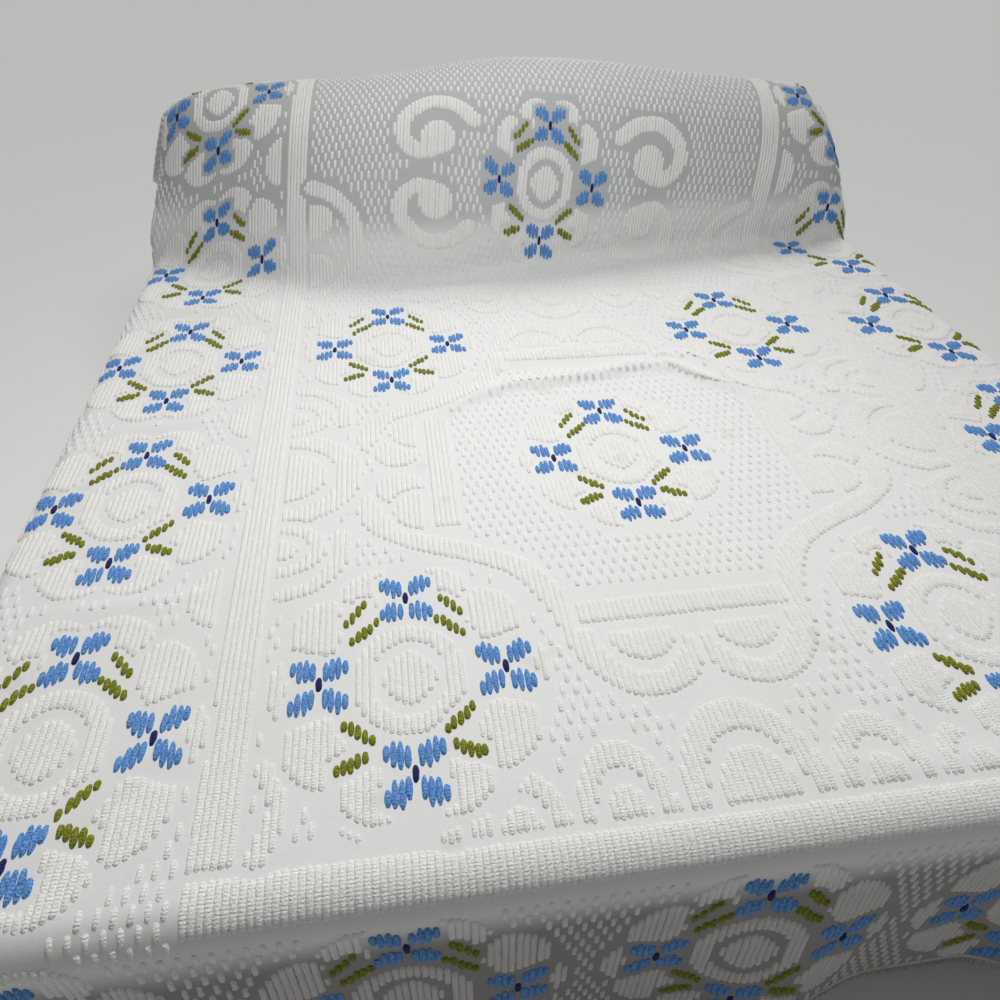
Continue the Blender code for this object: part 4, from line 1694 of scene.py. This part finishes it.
@dataclass(frozen=True)
class ChenilleYarn:
    """Cut chenille pile of one colour."""

    name: str
    light: Colour
    deep: Colour
    scale: float = 430.0
    relief: float = 0.0014
    bead: float = 0.0040
    bead_relief: float = 0.24
    sheen: float = 0.25
    # Painted shade: the colour that pale yarn is darkened towards where it hangs below the mattress's top,
    # the heights where this begins and is strongest, and how much.
    hanging: Colour = (0.34, 0.32, 0.30)
    painted_shade_hanging_heights: tuple[float, float] = (-0.03, -0.12)
    painted_hanging_shade_amount: float = 0.5

    def material(self) -> bpy.types.Material:
        """Makes the material."""
        tree = ClothTree(self.name, 0.95, self.sheen)
        place = tree.place()
        fluff = tree.group("fluff", place, Scale=self.scale)
        colour = tree.mixed(fluff.outputs["Shade"], self.deep, self.light)
        if min(self.light) > 0.5:
            colour = tree.aged(place, colour)
            # Painted shade: pale yarn, the fringe included, is darkened where it hangs down the sides and
            # foot.
            colour = tree.painted_shade_by_height(place, colour, self.hanging, self.painted_shade_hanging_heights, self.painted_hanging_shade_amount)
        height = fluff.outputs["Height"]
        if self.bead:
            turns = tree.maths("MULTIPLY", tree.parts(tree.cloth_place())[1], math.pi / self.bead)
            turns = tree.maths("MULTIPLY_ADD", fluff.outputs["Shade"], 1.6, turns)
            bead = tree.maths("ABSOLUTE", tree.maths("SINE", turns))
            height = tree.maths("MULTIPLY_ADD", bead, self.bead_relief, height)
        return tree.finished(colour, height, 1.0, self.relief)


@dataclass(frozen=True)
class GroundCloth:
    """The washed cotton ground between the tufts."""

    light: Colour = (0.82, 0.82, 0.81)
    deep: Colour = (0.74, 0.74, 0.73)
    threads: float = 780.0
    # Painted shade: grey mixed into the ground where it rises over the pillows, the heights where it begins
    # and is strongest, and how much.
    painted_shade_over_pillows: Colour = (0.42, 0.43, 0.44)
    painted_shade_pillow_heights: tuple[float, float] = (0.08, 0.15)
    painted_pillow_shade_amount: float = 0.75
    # Painted shade: dark brown-grey mixed into the ground where it hangs below the mattress's top, with the
    # heights where it begins and is strongest, and how much.
    hanging: Colour = (0.17, 0.155, 0.14)
    painted_shade_hanging_heights: tuple[float, float] = (-0.03, -0.10)
    painted_hanging_shade_amount: float = 0.84

    def material(self) -> bpy.types.Material:
        """Makes the material."""
        tree = ClothTree("cotton_ground", 0.92, 0.15)
        place = tree.place()
        weave = tree.group("plain_weave", tree.cloth_place(), Threads=self.threads)
        colour = tree.aged(place, tree.mixed(weave.outputs["Shade"], self.deep, self.light))
        # Painted shade over the pillows, then painted shade where the cloth hangs down the sides and foot.
        colour = tree.painted_shade_by_height(place, colour, self.painted_shade_over_pillows, self.painted_shade_pillow_heights, self.painted_pillow_shade_amount)
        colour = tree.painted_shade_by_height(place, colour, self.hanging, self.painted_shade_hanging_heights, self.painted_hanging_shade_amount)
        return tree.finished(colour, weave.outputs["Height"], 0.5, 0.0005)


@dataclass(frozen=True)
class PlainWeave:
    """A plain woven cover cloth."""

    name: str
    colour: Colour
    thread: float = 0.0009

    def material(self) -> bpy.types.Material:
        """Makes the material."""
        tree = ClothTree(self.name, 0.9, 0.1)
        weave = tree.group("plain_weave", tree.place(), Threads=1.0 / self.thread)
        deep, light = (tuple(min(1.0, share * part) for part in self.colour) for share in (0.82, 1.06))
        colour = tree.mixed(weave.outputs["Shade"], deep, light)
        return tree.finished(colour, weave.outputs["Height"], 0.6, 0.6 * self.thread)


@dataclass(frozen=True)
class Ticking:
    """Mattress ticking with narrow woven stripes."""

    pale: Colour = (0.74, 0.74, 0.72)
    stripe: Colour = (0.50, 0.53, 0.58)
    worn: Colour = (0.60, 0.60, 0.58)
    threads: float = 1100.0
    pitch: float = 0.036
    half_stripe: float = 0.07

    def material(self) -> bpy.types.Material:
        """Makes the material."""
        tree = ClothTree("mattress_ticking", 0.9, 0.1)
        place = tree.place()
        weave = tree.group("plain_weave", place, Threads=self.threads)
        across = tree.maths("ADD", *tree.parts(place)[:2])
        part = tree.maths("FRACT", tree.maths("DIVIDE", across, self.pitch))
        near = tree.maths("ABSOLUTE", tree.maths("SUBTRACT", part, 0.5))
        striped = tree.mixed(tree.maths("LESS_THAN", near, self.half_stripe), self.pale, self.stripe)
        colour = tree.mixed(tree.maths("MULTIPLY", weave.outputs["Shade"], 0.3), striped, self.worn)
        return tree.finished(colour, weave.outputs["Height"], 0.5, 0.0005)


# ---------------------------------------------------------------- studio


@dataclass(frozen=True)
class Lamp:
    """One far soft lamp: the way to it, how wide it looks in degrees, its strength and its colour."""

    name: str
    towards: tuple[float, float, float]
    spread: float
    strength: float
    colour: Colour


@dataclass(frozen=True)
class Panel:
    """One near soft panel lamp: its place, what it is turned to, its side in metres and its power."""

    name: str
    place: tuple[float, float, float]
    target: tuple[float, float, float]
    side: float
    power: float


@dataclass
class Studio:
    """A plain pale floor, two soft lamps, and the camera above the foot of the bed."""

    camera_place: tuple[float, float, float] = (-0.3387, -1.3356, 1.3724)
    yaw: float = 0.154
    pitch: float = 0.709
    roll: float = 0.019
    lens: float = 27.0
    key: Lamp = Lamp("key", (0.25, 0.85, 1.0), 20.0, 1.55, (1.0, 0.99, 0.97))
    panel: Panel = Panel("overhead_panel", (-0.1, -0.15, 2.0), (-0.1, 0.0, 0.6), 0.6, 12.5)
    floor: Colour = (0.95, 0.95, 0.94)
    floor_size: float = 40.0
    sky: Colour = (0.96, 0.98, 1.0)
    sky_strength: float = 0.16

    def build(self) -> None:
        """Builds the floor, the lamps, the sky and the camera."""
        self.add_floor()
        self.add_key()
        self.add_panel()
        world = bpy.data.worlds.new("studio")
        world.use_nodes = True
        background = world.node_tree.nodes["Background"]
        background.inputs["Color"].default_value = (*self.sky, 1.0)
        background.inputs["Strength"].default_value = self.sky_strength
        bpy.context.scene.world = world
        bpy.context.scene.view_settings.view_transform = "Standard"
        self.add_camera()

    def add_floor(self) -> None:
        """Adds the plain pale floor."""
        bm = bmesh.new()
        bmesh.ops.create_grid(bm, x_segments=1, y_segments=1, size=self.floor_size)
        mesh = bpy.data.meshes.new("studio_floor")
        bm.to_mesh(mesh)
        bm.free()
        floor = bpy.data.objects.new("studio_floor", mesh)
        bpy.context.scene.collection.objects.link(floor)
        pale = bpy.data.materials.new("pale_floor")
        pale.use_nodes = True
        shader = pale.node_tree.nodes["Principled BSDF"]
        shader.inputs["Base Color"].default_value = (*self.floor, 1.0)
        shader.inputs["Roughness"].default_value = 0.9
        shader.inputs["Specular IOR Level"].default_value = 0.1
        mesh.materials.append(pale)

    def add_key(self) -> None:
        """Adds the far lamp."""
        data = bpy.data.lights.new(self.key.name, "SUN")
        data.angle = math.radians(self.key.spread)
        data.energy = self.key.strength
        data.color = self.key.colour
        light = bpy.data.objects.new(self.key.name, data)
        light.location = 3.0 * Vector(self.key.towards)
        light.rotation_euler = Vector(self.key.towards).to_track_quat("Z", "Y").to_euler()
        bpy.context.scene.collection.objects.link(light)

    def add_panel(self) -> None:
        """Adds the near panel lamp over the foot of the bed."""
        data = bpy.data.lights.new(self.panel.name, "AREA")
        data.size = self.panel.side
        data.energy = self.panel.power
        light = bpy.data.objects.new(self.panel.name, data)
        light.location = self.panel.place
        ahead = Vector(self.panel.target) - Vector(self.panel.place)
        light.rotation_euler = ahead.to_track_quat("-Z", "Y").to_euler()
        light.visible_camera = False
        bpy.context.scene.collection.objects.link(light)

    def add_camera(self) -> None:
        """Adds the camera, looking along the bed and down on it."""
        ahead = Vector((
            math.sin(self.yaw) * math.cos(self.pitch),
            math.cos(self.yaw) * math.cos(self.pitch),
            -math.sin(self.pitch),
        ))  # fmt: skip
        level = Vector((math.cos(self.yaw), -math.sin(self.yaw), 0.0))
        up = level.cross(ahead)
        right = math.cos(self.roll) * level + math.sin(self.roll) * up
        data = bpy.data.cameras.new("camera")
        data.lens = self.lens
        data.sensor_width = 36.0
        data.clip_start = 0.02
        camera = bpy.data.objects.new("camera", data)
        turned = Matrix((right, right.cross(ahead), -ahead)).transposed()
        camera.matrix_world = Matrix.Translation(self.camera_place) @ turned.to_4x4()
        bpy.context.scene.collection.objects.link(camera)
        bpy.context.scene.camera = camera


def main() -> None:
    """Builds the bed, the spread over it and the studio round them."""
    logging.basicConfig(level=logging.INFO, format="%(name)s: %(message)s")
    Studio().build()
    BedBase().build()
    Mattress().build()
    cotton = PlainWeave("pillow_cotton", (0.80, 0.80, 0.80)).material()
    for node in ("pillow_left", "pillow_right"):
        Pillow(node).build().data.materials.append(cotton)
    spread = Bedspread(Drape(ClothSize()))
    spread.build()
    spread.dress()


if __name__ == "__main__":
    main()
